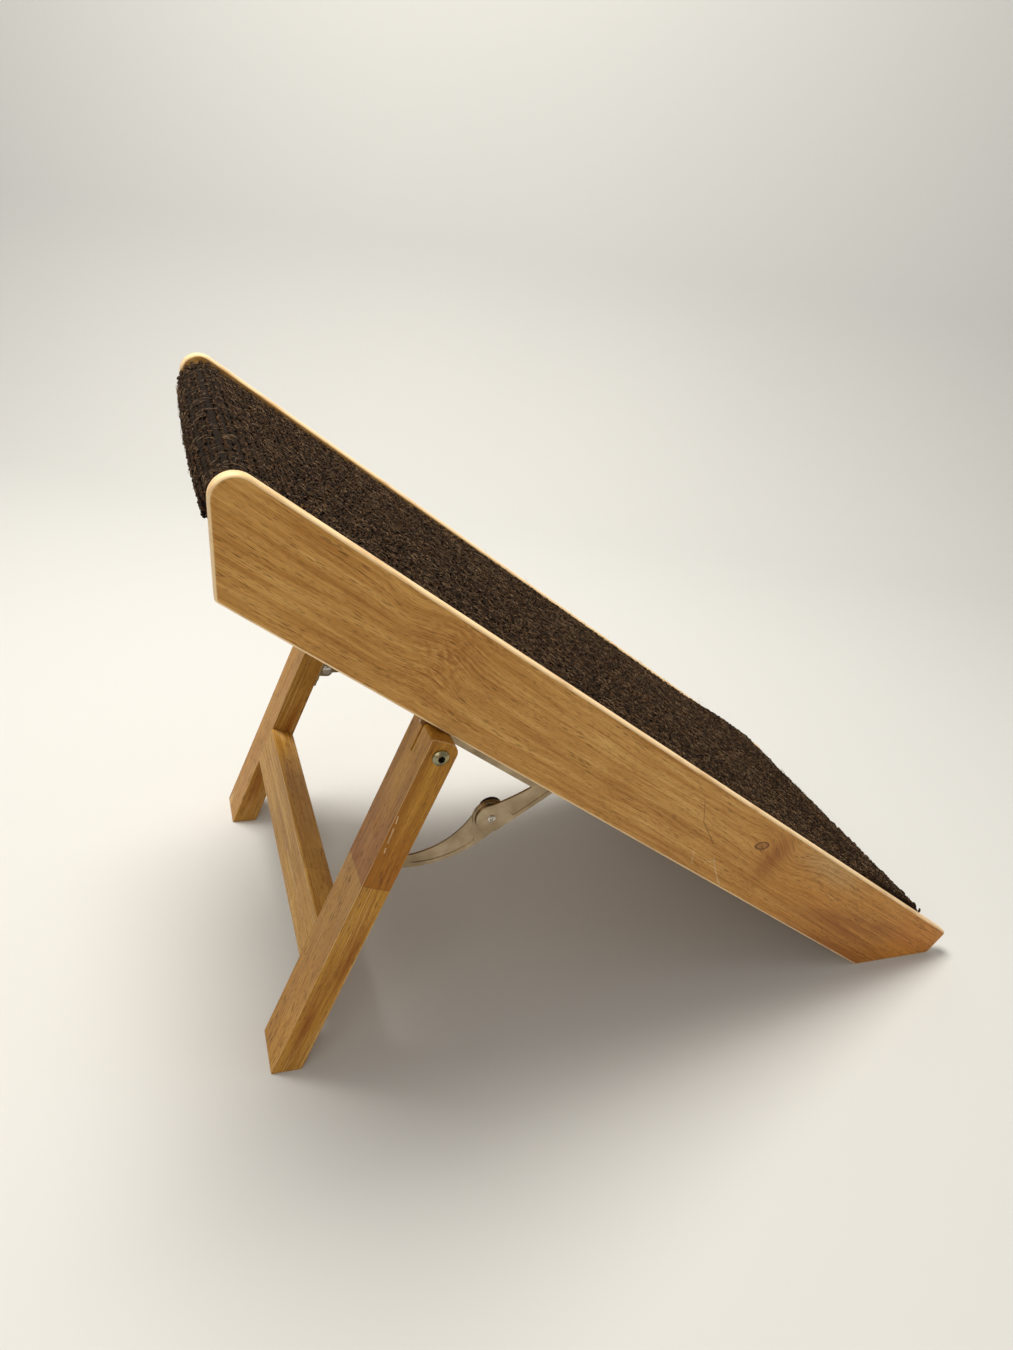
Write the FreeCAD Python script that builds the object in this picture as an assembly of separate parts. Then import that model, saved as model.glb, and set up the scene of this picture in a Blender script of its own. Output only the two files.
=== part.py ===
import FreeCAD, Part
import math
import os

# Folding dog ramp: two wooden side boards carry a carpeted deck, and a pair of legs with a crossbar
# folds flat under the boards. Each leg is held open by a steel stay that breaks at its knee.
# Millimetres. +X points down the ramp to its low toe end, +Z is up, and the origin lies on the floor
# under the middle of the ramp's outer box. The left side is at -Y.

Vector = FreeCAD.Vector

# Ramp
RAMP_ANGLE = 33.75          # slope of the boards above the floor, degrees
RAMP_WIDTH = 381.0          # over the outer faces of the two side boards
BOARD_DEPTH = 80.0
BOARD_THICKNESS = 12.0
BOTTOM_EDGE = 749.0         # from the heel of the foot cut up to the head cut
FOOT_CUT = 91.0             # flat of the board that rests on the floor
HEAD_CUT_LEAN = 3.0         # head cut from upright, out toward its top, degrees
HEAD_RADIUS = 17.0
HEAD_HEEL_RADIUS = 4.0
TOE_RADIUS = 4.0
TOE_HEEL_RADIUS = 7.0
BOARD_ROUNDOVER = 3.0

# Deck, rails and carpet
CARPET_DROP = 3.0           # carpet surface below the board tops
CARPET_THICKNESS = 6.0
CARPET_GAP = 0.3
CARPET_PROUD = 3.4          # carpet past the head cut
CARPET_TOE_RADIUS = 5.4
DECK_THICKNESS = 9.0
GROOVE_DEPTH = 4.0
TOE_SETBACK = 38.0          # carpet toe end to the boards' toe end
NOSING_RADIUS = 20.0
NOSING_DROP = 26.0          # carpet down the head rail
RAIL_WIDTH = 30.0
RAIL_HEIGHT = 20.0
RAIL_POSITIONS = (0.0, 250.0, 610.0)   # middle of each rail, along the board from its heel
HEAD_RAIL_DEPTH = 18.0

# Leg frame
LEG_WIDTH = 48.0            # across the ramp
LEG_DEPTH = 24.0
LEG_OVERHANG = 12.0         # leg outer face outside the board's outer face
LEG_LEAN = 19.75            # from upright, degrees
LEG_ROUNDOVER = 2.0
LEG_ARRIS = 0.8
LEG_HEEL_RADIUS = 0.8
LEG_TOE_RADIUS = 3.0
LEG_REAR_TOP_RADIUS = 2.5
CUT_RUN_OUT = 1.0           # how far a groove or hole's cutter passes the surface
PIVOT_ALONG = 552.0         # leg pivot, along the board from its heel
PIVOT_DROP = 14.0           # leg pivot below the board's bottom edge
LEG_TOP = 12.8              # leg end above its pivot
LEG_TOP_RADIUS = 9.0
CROSSBAR_TOP = 125.0        # up the leg from the floor
CROSSBAR_HEIGHT = 42.0
DOWEL_RADIUS = 4.0
RAIL_DOWEL_RADIUS = 3.0
DOWEL_IN_BOARD = 8.0
DOWEL_IN_RAIL = 16.0
DOWEL_IN_LEG = 22.0
HEAD_DOWEL_DROPS = (11.0, 20.0)        # below the underside of the deck at the head
CROSSBAR_DOWEL_INSET = 11.0            # from the crossbar's edges
RAIL_SCREW_LENGTH = 26.0
RAIL_SCREW_Y = (-110.0, 0.0, 110.0)

# Kerf in each leg that takes the steel plate
KERF_GAP = 0.5
KERF_BELOW_PIVOT = 12.5
KERF_FRONT_DEPTH = 7.0
KERF_FRONT_LENGTH = 108.0
KERF_RUN_OUT = 5.0          # cutter past the wood

# Stay hardware. Offsets are inward from the board's outer face.
PLATE_THICKNESS = 2.0
PLATE_TOP = 34.0
PLATE_HANG = 7.5
PLATE_BACK = 571.0
PLATE_STEP = 452.0
PLATE_STEP_SLOPE = 6.0
PLATE_PAST_ANCHOR = 10.0
LOBE_RADIUS = 10.0
ARM_THICKNESS = 2.0
LOWER_ARM_THICKNESS = 1.8
UPPER_ARM_LENGTH = 75.0
KNEE = (461.5, -48.35)      # open knee: along the board, above its bottom edge
BRACKET_UP_LEG = 202.5      # lower arm pivot, up the leg
BRACKET_REACH = 10.8        # lower arm pivot, in front of the leg
FOLDED_ARM_RISE = 14.0      # lower arm above the folded leg, degrees
CUP_RADIUS = 15.2
CUP_WALL = 1.6
CUP_SHOULDER = 0.5
EMBOSS_DEPTH = 0.5

PIN_RADIUS = 2.6
ANCHOR_RADIUS = 3.0
BOLT_RADIUS = 3.0
SCREW_RADIUS = 1.9
SCREW_TIP = 3.0
SCREW_HEAD_RADIUS = 3.6
SCREW_HEAD_HEIGHT = 2.2
SCREW_HEAD_RIM = 0.6
SCREW_POINT_RADIUS = 0.4
PLATE_SCREW_LENGTH = 11.0
PLATE_SCREW_ALONG = (462.0, 496.0, 530.0, 562.0)
PLATE_SCREW_HEIGHT = 24.0
BRACKET_SCREW_LENGTH = 16.0
BRACKET_SCREW_INSET = 6.5   # inward from the bracket's flange
BRACKET_SCREW_SPREAD = 10.0
RUNNING_FIT = 0.05
COLLAR_RADIUS = 4.0
SPRING_SPACE = 1.6          # collar past the latch
HEAD_GAP = 0.1
ANCHOR_HEAD = (4.5, 0.3, 0.9)          # rivet heads: radius, straight rim, height
LEG_END_HEAD = (5.0, 0.4, 1.5)
KNEE_HEAD = (3.4, 0.5, 1.2)
COLLAR_HEAD = (6.4, 0.4, 1.0)
RIVET_TAIL_RADIUS = 4.2
RIVET_TAIL = 0.8
KNEE_HOLE_RADIUS = 1.4
KNEE_HOLE_DEPTH = 0.6
BOLT_HEAD = (6.3, 1.4, 3.6)
SOCKET_FLATS = 5.0
SOCKET_DEPTH = 2.8
BOLT_PAST_NUT = 1.2
WASHER_RADIUS = 6.2
WASHER_THICKNESS = 1.2
NUT_FLATS = 10.0
NUT_HEIGHT = 5.6
BRACKET_THICKNESS = 2.0
BRACKET_HALF_LENGTH = 17.0
BRACKET_INSET = 2.0         # bracket base inside the leg's inner face
FLANGE_HALF_ROOT = 11.0
FLANGE_HALF_TIP = 6.5
FLANGE_TIP_RADIUS = 6.0
LATCH_THICKNESS = 2.2
LATCH_HUB_RADIUS = 7.6
LATCH_TAB = (3.0, 3.0)      # tab centre from the knee, along and square to the lower arm
LATCH_TAB_RADIUS = 10.4
LATCH_LIP = 2.4
LATCH_LIP_WIDTH = 2.6
LATCH_LIP_CLEAR = 12.0      # lip stops this far from the knee
SPRING_WIRE_RADIUS = 0.5
SPRING_TAIL_RADIUS = 0.45
SPRING_TAIL_LENGTH = 9.0
SPRING_TAIL_DIP = 6.3       # degrees below the arm

# Layers of the stay, inward from the board's outer face
PLATE_IN = BOARD_THICKNESS
PLATE_OUT = PLATE_IN + PLATE_THICKNESS
UPPER_IN = PLATE_OUT + 0.4
UPPER_OUT = UPPER_IN + ARM_THICKNESS
CUP_IN = UPPER_OUT + 0.4
LOWER_IN = CUP_IN + 1.2
LOWER_OUT = LOWER_IN + LOWER_ARM_THICKNESS
FLANGE_IN = LOWER_OUT + 0.4
FLANGE_OUT = FLANGE_IN + BRACKET_THICKNESS
LATCH_IN = LOWER_OUT + 0.3
LATCH_OUT = LATCH_IN + LATCH_THICKNESS

# Worked-out values
COS = math.cos(math.radians(RAMP_ANGLE))
SIN = math.sin(math.radians(RAMP_ANGLE))
LEAN_COS = math.cos(math.radians(LEG_LEAN))
LEAN_SIN = math.sin(math.radians(LEG_LEAN))
HALF_WIDTH = RAMP_WIDTH / 2
FOLD_ANGLE = 90.0 - RAMP_ANGLE + LEG_LEAN
TOE_END = -FOOT_CUT * COS
HEAD_ANGLE = math.radians(RAMP_ANGLE + HEAD_CUT_LEAN)   # head cut from square to the board
TOE_X = (-TOE_END - TOE_RADIUS) * COS + (BOARD_DEPTH - TOE_RADIUS) * SIN + TOE_RADIUS

CARPET_TOP = BOARD_DEPTH - CARPET_DROP
DECK_TOP = CARPET_TOP - CARPET_THICKNESS
DECK_UNDER = DECK_TOP - DECK_THICKNESS
CARPET_TOE = TOE_END + TOE_SETBACK
DECK_TOE = CARPET_TOE + CARPET_THICKNESS
DECK_PROUD = CARPET_PROUD - CARPET_THICKNESS
NOSE_CENTRE_ABOVE = CARPET_TOP - NOSING_RADIUS


def along_at_head(outside, above):
    """Distance up the board's bottom edge at a distance outside the head cut and a height square to the edge."""
    return BOTTOM_EDGE + above * math.tan(HEAD_ANGLE) + outside / math.cos(HEAD_ANGLE)


NOSE_CENTRE_ALONG = along_at_head(CARPET_PROUD - NOSING_RADIUS, NOSE_CENTRE_ABOVE)
NOSE_X = -NOSE_CENTRE_ALONG * COS + NOSE_CENTRE_ABOVE * SIN - NOSING_RADIUS
HEEL_X = -(TOE_X + NOSE_X) / 2


def on_ramp(along, above):
    """Point (x, z) at a distance up the board's bottom edge and a height square to it."""
    x = HEEL_X - along * COS + above * SIN
    z = along * SIN + above * COS
    return x, z


def at_head(outside, above):
    """Point (x, z) at a distance outside the head cut and a height square to the ramp."""
    return on_ramp(along_at_head(outside, above), above)


def at_head_height(outside, z):
    """Point (x, z) at a distance outside the head cut and a height from the floor."""
    above = (z - along_at_head(outside, 0) * SIN) / (math.tan(HEAD_ANGLE) * SIN + COS)
    return at_head(outside, above)


PIVOT = on_ramp(PIVOT_ALONG, -PIVOT_DROP)
LEG_HEEL_X = PIVOT[0] - PIVOT[1] * LEAN_SIN / LEAN_COS - LEG_DEPTH / 2 / LEAN_COS
PIVOT_UP_LEG = (PIVOT[1] + LEG_DEPTH / 2 * LEAN_SIN) / LEAN_COS


def on_leg(up, forward):
    """Point (x, z) up the leg from its rear heel and forward of its rear face."""
    x = LEG_HEEL_X + up * LEAN_SIN + forward * LEAN_COS
    z = up * LEAN_COS - forward * LEAN_SIN
    return x, z


def turned(point, centre, degrees):
    """Point turned anticlockwise in the XZ plane, seen with +X to the right."""
    angle = math.radians(degrees)
    dx = point[0] - centre[0]
    dz = point[1] - centre[1]
    x = centre[0] + dx * math.cos(angle) - dz * math.sin(angle)
    z = centre[1] + dx * math.sin(angle) + dz * math.cos(angle)
    return x, z


def heading(start, end):
    """Direction from start to end in degrees above +X."""
    return math.degrees(math.atan2(end[1] - start[1], end[0] - start[0]))


# Stay geometry: the anchor is equally far from the open knee and the folded knee.
KNEE_OPEN = on_ramp(*KNEE)
LEG_END = on_leg(BRACKET_UP_LEG, LEG_DEPTH + BRACKET_REACH)
LEG_END_FOLDED = turned(LEG_END, PIVOT, FOLD_ANGLE)
LOWER_ARM_LENGTH = math.dist(LEG_END, KNEE_OPEN)
FOLDED_HEADING = math.radians(FOLDED_ARM_RISE - RAMP_ANGLE)
KNEE_FOLDED = (
    LEG_END_FOLDED[0] + LOWER_ARM_LENGTH * math.cos(FOLDED_HEADING),
    LEG_END_FOLDED[1] + LOWER_ARM_LENGTH * math.sin(FOLDED_HEADING),
)
KNEE_TRAVEL = math.dist(KNEE_OPEN, KNEE_FOLDED)
ANCHOR_OFFSET = math.sqrt(UPPER_ARM_LENGTH ** 2 - (KNEE_TRAVEL / 2) ** 2)
ANCHOR = (
    (KNEE_OPEN[0] + KNEE_FOLDED[0]) / 2 - ANCHOR_OFFSET * (KNEE_FOLDED[1] - KNEE_OPEN[1]) / KNEE_TRAVEL,
    (KNEE_OPEN[1] + KNEE_FOLDED[1]) / 2 + ANCHOR_OFFSET * (KNEE_FOLDED[0] - KNEE_OPEN[0]) / KNEE_TRAVEL,
)
ANCHOR_ALONG = ANCHOR[1] * SIN - (ANCHOR[0] - HEEL_X) * COS

# Directions and fixing points
UP_SQUARE = (SIN, 0, COS)
BEHIND_LEG = (-LEAN_COS, 0, LEAN_SIN)
LEG_NEAR = -LEG_OVERHANG
LEG_FAR = LEG_WIDTH - LEG_OVERHANG
CROSSBAR_BOTTOM = CROSSBAR_TOP - CROSSBAR_HEIGHT
CROSSBAR_DOWEL_UPS = (CROSSBAR_TOP - CROSSBAR_DOWEL_INSET, CROSSBAR_BOTTOM + CROSSBAR_DOWEL_INSET)
BRACKET_SCREW_UPS = (BRACKET_UP_LEG - BRACKET_SCREW_SPREAD, BRACKET_UP_LEG + BRACKET_SCREW_SPREAD)
PLATE_SCREW_POINTS = [on_ramp(along, PLATE_SCREW_HEIGHT) for along in PLATE_SCREW_ALONG]
UPPER_HEADING = heading(KNEE_OPEN, ANCHOR)
LOWER_HEADING = heading(LEG_END, KNEE_OPEN)


def rounded_face(corners):
    """Flat face in the XZ plane through corners (x, z, radius), each rounded by its radius."""
    bends = []
    for index, (x, z, radius) in enumerate(corners):
        here = Vector(x, 0, z)
        before = Vector(corners[index - 1][0], 0, corners[index - 1][1])
        after_corner = corners[(index + 1) % len(corners)]
        after = Vector(after_corner[0], 0, after_corner[1])
        to_before = (before - here).normalize()
        to_after = (after - here).normalize()
        half_angle = to_before.getAngle(to_after) / 2
        reach = radius / math.tan(half_angle)
        inward = (to_before + to_after).normalize()
        middle = here + inward * (radius / math.sin(half_angle) - radius)
        bends.append((here + to_before * reach, middle, here + to_after * reach, radius))
    edges = []
    for index, (start, middle, end, radius) in enumerate(bends):
        if radius > 0:
            edges.append(Part.Arc(start, middle, end).toShape())
        next_start = bends[(index + 1) % len(bends)][0]
        if end.distanceToPoint(next_start) > 1e-6:
            edges.append(Part.makeLine(end, next_start))
    return Part.Face(Part.Wire(edges))


def arc_face(points):
    """Flat face in the XZ plane bounded by arcs; points alternate between arc ends and middles."""
    vectors = [Vector(x, 0, z) for x, z in points]
    edges = []
    for index in range(0, len(vectors), 2):
        end = vectors[(index + 2) % len(vectors)]
        edges.append(Part.Arc(vectors[index], vectors[index + 1], end).toShape())
    return Part.Face(Part.Wire(edges))


def across(offset, side):
    """Y of a plane at an inward offset from the outer face of one side board."""
    return side * (HALF_WIDTH - offset)


def prism(face, y_start, y_end):
    """Solid that carries an XZ face from one Y to another."""
    solid = face.copy()
    solid.translate(Vector(0, min(y_start, y_end), 0))
    return solid.extrude(Vector(0, abs(y_end - y_start), 0))


def layer(face, near, far, side):
    """Solid from an XZ face between two inward offsets on one side of the ramp."""
    return prism(face, across(near, side), across(far, side))


def pin(centre, radius, near, far, side):
    """Round bar along Y between two inward offsets on one side of the ramp."""
    y_start = min(across(near, side), across(far, side))
    return Part.makeCylinder(radius, abs(far - near), Vector(centre[0], y_start, centre[1]), Vector(0, 1, 0))


def domed_disc(radius, rim, height):
    """Round fastener head on the XY plane: a straight rim under a domed top, about +Z."""
    bulge = height - rim
    ball_radius = (radius ** 2 + bulge ** 2) / (2 * bulge)
    inner = Vector(radius / 2, 0, height - ball_radius + math.sqrt(ball_radius ** 2 - radius ** 2 / 4))
    profile = Part.Wire([
        Part.makeLine(Vector(0, 0, 0), Vector(radius, 0, 0)),
        Part.makeLine(Vector(radius, 0, 0), Vector(radius, 0, rim)),
        Part.Arc(Vector(radius, 0, rim), inner, Vector(0, 0, height)).toShape(),
        Part.makeLine(Vector(0, 0, height), Vector(0, 0, 0)),
    ])
    return Part.Face(profile).revolve(Vector(0, 0, 0), Vector(0, 0, 1), 360)


def pointed(shape, start, direction):
    """Shape built about +Z from the origin, moved to start and turned to point along direction."""
    moved = shape.copy()
    turn = FreeCAD.Rotation(Vector(0, 0, 1), Vector(*direction))
    moved.Placement = FreeCAD.Placement(Vector(*start), turn)
    return moved


def dome(centre, radius, rim, height, near, side, outward):
    """Domed fastener head along Y from an inward offset, growing outward (-1) or inward (+1)."""
    start = (centre[0], across(near, side), centre[1])
    return pointed(domed_disc(radius, rim, height), start, (0, -side * outward, 0))


def placed(face, origin, degrees):
    """Local XZ face turned to a heading and moved to its origin."""
    shape = face.copy()
    shape.rotate(Vector(0, 0, 0), Vector(0, -1, 0), degrees)
    shape.translate(Vector(origin[0], 0, origin[1]))
    return shape


def rounded_edges(solid, radius, y_values):
    """Solid with the edges of the given Y planes rounded."""
    edges = []
    for edge in solid.Edges:
        box = edge.BoundBox
        if any(abs(box.YMin - y) < 1e-4 and abs(box.YMax - y) < 1e-4 for y in y_values):
            edges.append(edge)
    return solid.makeFillet(radius, edges)


def save(name, *solids):
    """Write one node, which may be a group of separate solids."""
    shape = solids[0] if len(solids) == 1 else Part.makeCompound(list(solids))
    shape.exportStep(os.path.join("parts", name + ".step"))


def screw_hole(start, direction, length):
    """Threaded length of a screw, which is also the hole it fills."""
    thread = Part.makeCylinder(SCREW_RADIUS, length - SCREW_TIP)
    tip = Part.makeCone(SCREW_RADIUS, SCREW_POINT_RADIUS, SCREW_TIP, Vector(0, 0, length - SCREW_TIP))
    return pointed(thread.fuse(tip), start, direction)


def screw(start, direction, length):
    """Pan head screw whose head sits on start and whose thread runs along direction."""
    backward = (-direction[0], -direction[1], -direction[2])
    head = pointed(domed_disc(SCREW_HEAD_RADIUS, SCREW_HEAD_RIM, SCREW_HEAD_HEIGHT), start, backward)
    return screw_hole(start, direction, length).fuse(head)


# Rails under the deck, with the dowels that hold them to the boards and the screws into the deck

def inside_nosing():
    """Block of the space under the deck's top and behind the curve of the head."""
    head_top = at_head(DECK_PROUD, DECK_TOP)
    head_foot = at_head_height(DECK_PROUD, 0)
    toe_top = on_ramp(TOE_END, DECK_TOP)
    face = rounded_face((
        (head_top[0], head_top[1], NOSING_RADIUS - CARPET_THICKNESS),
        (toe_top[0], toe_top[1], 0),
        (toe_top[0], 0, 0),
        (head_foot[0], 0, 0),
    ))
    return prism(face, -HALF_WIDTH, HALF_WIDTH)


def rail_face(along):
    toe_edge = along - RAIL_WIDTH / 2
    head_edge = along + RAIL_WIDTH / 2
    bottom = DECK_UNDER - RAIL_HEIGHT
    corners = ((toe_edge, DECK_UNDER), (toe_edge, bottom), (head_edge, bottom), (head_edge, DECK_UNDER))
    return rounded_face([(*on_ramp(*corner), 0) for corner in corners])


def head_rail_face():
    hem = at_head(DECK_PROUD, DECK_UNDER)[1] - NOSING_DROP
    corners = (
        at_head(DECK_PROUD, DECK_UNDER),
        at_head_height(DECK_PROUD, hem),
        at_head_height(DECK_PROUD - HEAD_RAIL_DEPTH, hem),
        at_head(DECK_PROUD - HEAD_RAIL_DEPTH, DECK_UNDER),
    )
    return rounded_face([(x, z, 0) for x, z in corners])


def rail_dowel_points():
    points = []
    for along in RAIL_POSITIONS:
        points.append(on_ramp(along, DECK_UNDER - RAIL_HEIGHT / 2))
    rear_top = at_head(DECK_PROUD, DECK_UNDER)
    for drop in HEAD_DOWEL_DROPS:
        points.append(at_head_height(DECK_PROUD - HEAD_RAIL_DEPTH / 2, rear_top[1] - drop))
    return points


def rail_dowel(point, side):
    near = BOARD_THICKNESS - DOWEL_IN_BOARD
    far = BOARD_THICKNESS + DOWEL_IN_RAIL
    return pin(point, RAIL_DOWEL_RADIUS, near, far, side)


def rail_screw_starts(along):
    x, z = on_ramp(along, DECK_UNDER - RAIL_HEIGHT)
    return [(x, y, z) for y in RAIL_SCREW_Y]


# Side boards

def plate_screw_start(point, side):
    return point[0], across(PLATE_OUT, side), point[1]


def side_board(side):
    heel = on_ramp(0, 0)
    head_heel = on_ramp(BOTTOM_EDGE, 0)
    head_top = at_head(0, BOARD_DEPTH)
    toe_top = on_ramp(TOE_END, BOARD_DEPTH)
    corners = (
        (heel[0], heel[1], 0),
        (heel[0] + FOOT_CUT, 0, TOE_HEEL_RADIUS),
        (toe_top[0], toe_top[1], TOE_RADIUS),
        (head_top[0], head_top[1], HEAD_RADIUS),
        (head_heel[0], head_heel[1], HEAD_HEEL_RADIUS),
    )
    board = layer(rounded_face(corners), 0, BOARD_THICKNESS, side)
    board = rounded_edges(board, BOARD_ROUNDOVER, (across(0, side), across(BOARD_THICKNESS, side)))
    groove = layer(deck_face(), BOARD_THICKNESS - GROOVE_DEPTH, BOARD_THICKNESS + CUT_RUN_OUT, side)
    board = board.cut(groove.common(inside_nosing()))
    for point in rail_dowel_points():
        board = board.cut(rail_dowel(point, side))
    for point in PLATE_SCREW_POINTS:
        board = board.cut(screw_hole(plate_screw_start(point, side), (0, side, 0), PLATE_SCREW_LENGTH))
    return board


def deck_face():
    toe_top = on_ramp(DECK_TOE, DECK_TOP)
    toe_under = on_ramp(DECK_TOE, DECK_UNDER)
    head_top = at_head(DECK_PROUD, DECK_TOP)
    head_under = at_head(DECK_PROUD, DECK_UNDER)
    return rounded_face([(x, z, 0) for x, z in (toe_top, toe_under, head_under, head_top)])


def deck_panel():
    reach = HALF_WIDTH - BOARD_THICKNESS + GROOVE_DEPTH
    deck = prism(deck_face(), -reach, reach).common(inside_nosing())
    for along in RAIL_POSITIONS:
        for start in rail_screw_starts(along):
            deck = deck.cut(screw_hole(start, UP_SQUARE, RAIL_SCREW_LENGTH))
    return deck


def carpet():
    """Carpet over the deck, turned down at the toe and down the head rail."""
    head_top = at_head(CARPET_PROUD, CARPET_TOP)
    head_inside = at_head(DECK_PROUD, DECK_TOP)
    hem = at_head(DECK_PROUD, DECK_UNDER)[1] - NOSING_DROP
    hem_outside = at_head_height(CARPET_PROUD, hem)
    hem_inside = at_head_height(DECK_PROUD, hem)
    toe_top = on_ramp(CARPET_TOE, CARPET_TOP)
    toe_hem = on_ramp(CARPET_TOE, DECK_UNDER)
    toe_hem_inside = on_ramp(DECK_TOE, DECK_UNDER)
    toe_inside = on_ramp(DECK_TOE, DECK_TOP)
    face = rounded_face((
        (head_top[0], head_top[1], NOSING_RADIUS),
        (toe_top[0], toe_top[1], CARPET_TOE_RADIUS),
        (toe_hem[0], toe_hem[1], 0),
        (toe_hem_inside[0], toe_hem_inside[1], 0),
        (toe_inside[0], toe_inside[1], 0),
        (head_inside[0], head_inside[1], NOSING_RADIUS - CARPET_THICKNESS),
        (hem_inside[0], hem, 0),
        (hem_outside[0], hem, 0),
    ))
    reach = HALF_WIDTH - BOARD_THICKNESS - CARPET_GAP
    return prism(face, -reach, reach)


def rail(along):
    reach = HALF_WIDTH - BOARD_THICKNESS
    bar = prism(rail_face(along), -reach, reach)
    for start in rail_screw_starts(along):
        bar = bar.cut(screw_hole(start, UP_SQUARE, RAIL_SCREW_LENGTH))
    for side in (-1, 1):
        bar = bar.cut(rail_dowel(on_ramp(along, DECK_UNDER - RAIL_HEIGHT / 2), side))
    return bar


def head_rail():
    reach = HALF_WIDTH - BOARD_THICKNESS
    bar = prism(head_rail_face(), -reach, reach).common(inside_nosing())
    for side in (-1, 1):
        for point in rail_dowel_points()[len(RAIL_POSITIONS):]:
            bar = bar.cut(rail_dowel(point, side))
    return bar


# Steel plate on the inside of each board

def stay_plate(side):
    body = rounded_face([(*on_ramp(along, above), radius) for along, above, radius in (
        (PLATE_BACK, -PLATE_HANG, 4),
        (PLATE_BACK, PLATE_TOP, 6),
        (ANCHOR_ALONG - PLATE_PAST_ANCHOR, PLATE_TOP, 8),
        (ANCHOR_ALONG - PLATE_PAST_ANCHOR, 4, 4),
        (PLATE_STEP - PLATE_STEP_SLOPE, 2, 3),
        (PLATE_STEP, -PLATE_HANG, 2),
    )])
    plate = layer(body, PLATE_IN, PLATE_OUT, side)
    plate = plate.fuse(pin(PIVOT, LOBE_RADIUS, PLATE_IN, PLATE_OUT, side))
    toe_edge = PIVOT_ALONG - LOBE_RADIUS
    head_edge = PIVOT_ALONG + LOBE_RADIUS
    corners = ((toe_edge, -PIVOT_DROP), (head_edge, -PIVOT_DROP), (head_edge, 0), (toe_edge, 0))
    neck = rounded_face([(*on_ramp(*corner), 0) for corner in corners])
    plate = plate.fuse(layer(neck, PLATE_IN, PLATE_OUT, side)).removeSplitter()
    plate = plate.cut(pin(PIVOT, BOLT_RADIUS + RUNNING_FIT, PLATE_IN, PLATE_OUT, side))
    plate = plate.cut(pin(ANCHOR, ANCHOR_RADIUS, PLATE_IN, PLATE_OUT, side))
    for point in PLATE_SCREW_POINTS:
        plate = plate.cut(pin(point, SCREW_RADIUS, PLATE_IN, PLATE_OUT, side))
    return plate


def anchor_rivet(side):
    shank = pin(ANCHOR, ANCHOR_RADIUS, PLATE_IN, UPPER_OUT + HEAD_GAP, side)
    return shank.fuse(dome(ANCHOR, *ANCHOR_HEAD, UPPER_OUT + HEAD_GAP, side, 1)).removeSplitter()


# Legs

def crossbar_dowel(up, side):
    return pin(on_leg(up, LEG_DEPTH / 2), DOWEL_RADIUS, LEG_FAR - DOWEL_IN_LEG, LEG_FAR + DOWEL_IN_LEG, side)


def bracket_screw_start(up, side):
    x, z = on_leg(up, LEG_DEPTH + BRACKET_THICKNESS)
    return x, across(FLANGE_OUT + BRACKET_SCREW_INSET, side), z


def kerf(side):
    """Slot through the leg's top, running on as a groove down its front face."""
    top = PIVOT_UP_LEG + LEG_TOP + KERF_RUN_OUT
    front = LEG_DEPTH + KERF_RUN_OUT
    cuts = (
        (PIVOT_UP_LEG - KERF_BELOW_PIVOT, -KERF_RUN_OUT),
        (PIVOT_UP_LEG - KERF_FRONT_LENGTH, LEG_DEPTH - KERF_FRONT_DEPTH),
    )
    slots = []
    for bottom, back in cuts:
        corners = ((bottom, back), (bottom, front), (top, front), (top, back))
        face = rounded_face([(*on_leg(*corner), 0) for corner in corners])
        slots.append(layer(face, PLATE_IN - KERF_GAP, PLATE_OUT + KERF_GAP, side))
    return slots[0].fuse(slots[1])


def leg(side):
    heel = on_leg(0, 0)
    front_foot = (LEG_HEEL_X + LEG_DEPTH / LEAN_COS, 0)
    rear_top = on_leg(PIVOT_UP_LEG + LEG_TOP, 0)
    front_top = on_leg(PIVOT_UP_LEG + LEG_TOP, LEG_DEPTH)
    face = rounded_face((
        (heel[0], 0, LEG_HEEL_RADIUS),
        (front_foot[0], 0, LEG_TOE_RADIUS),
        (front_top[0], front_top[1], LEG_TOP_RADIUS),
        (rear_top[0], rear_top[1], LEG_REAR_TOP_RADIUS),
    ))
    post = layer(face, LEG_NEAR, LEG_FAR, side)
    post = rounded_edges(post, LEG_ARRIS, (across(LEG_NEAR, side), across(LEG_FAR, side)))
    post = post.cut(kerf(side))
    post = post.cut(pin(PIVOT, BOLT_RADIUS, LEG_NEAR - CUT_RUN_OUT, LEG_FAR + CUT_RUN_OUT, side))
    for up in CROSSBAR_DOWEL_UPS:
        post = post.cut(crossbar_dowel(up, side))
    for up in BRACKET_SCREW_UPS:
        post = post.cut(screw_hole(bracket_screw_start(up, side), BEHIND_LEG, BRACKET_SCREW_LENGTH))
    return post


def crossbar():
    corners = [on_leg(up, forward) for up, forward in (
        (CROSSBAR_TOP, 0), (CROSSBAR_TOP, LEG_DEPTH),
        (CROSSBAR_BOTTOM, LEG_DEPTH), (CROSSBAR_BOTTOM, 0))]
    reach = HALF_WIDTH - LEG_FAR
    bar = prism(rounded_face([(x, z, LEG_ROUNDOVER) for x, z in corners]), -reach, reach)
    for side in (-1, 1):
        for up in CROSSBAR_DOWEL_UPS:
            bar = bar.cut(crossbar_dowel(up, side))
    return bar


# Leg pivot: bolt, washer and nut

def hexagon(centre, flats):
    corner_radius = flats / math.sqrt(3)
    corners = []
    for index in range(6):
        angle = math.radians(60 * index + LEG_LEAN)
        x = centre[0] + corner_radius * math.cos(angle)
        z = centre[1] + corner_radius * math.sin(angle)
        corners.append((x, z, 0))
    return rounded_face(corners)


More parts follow.
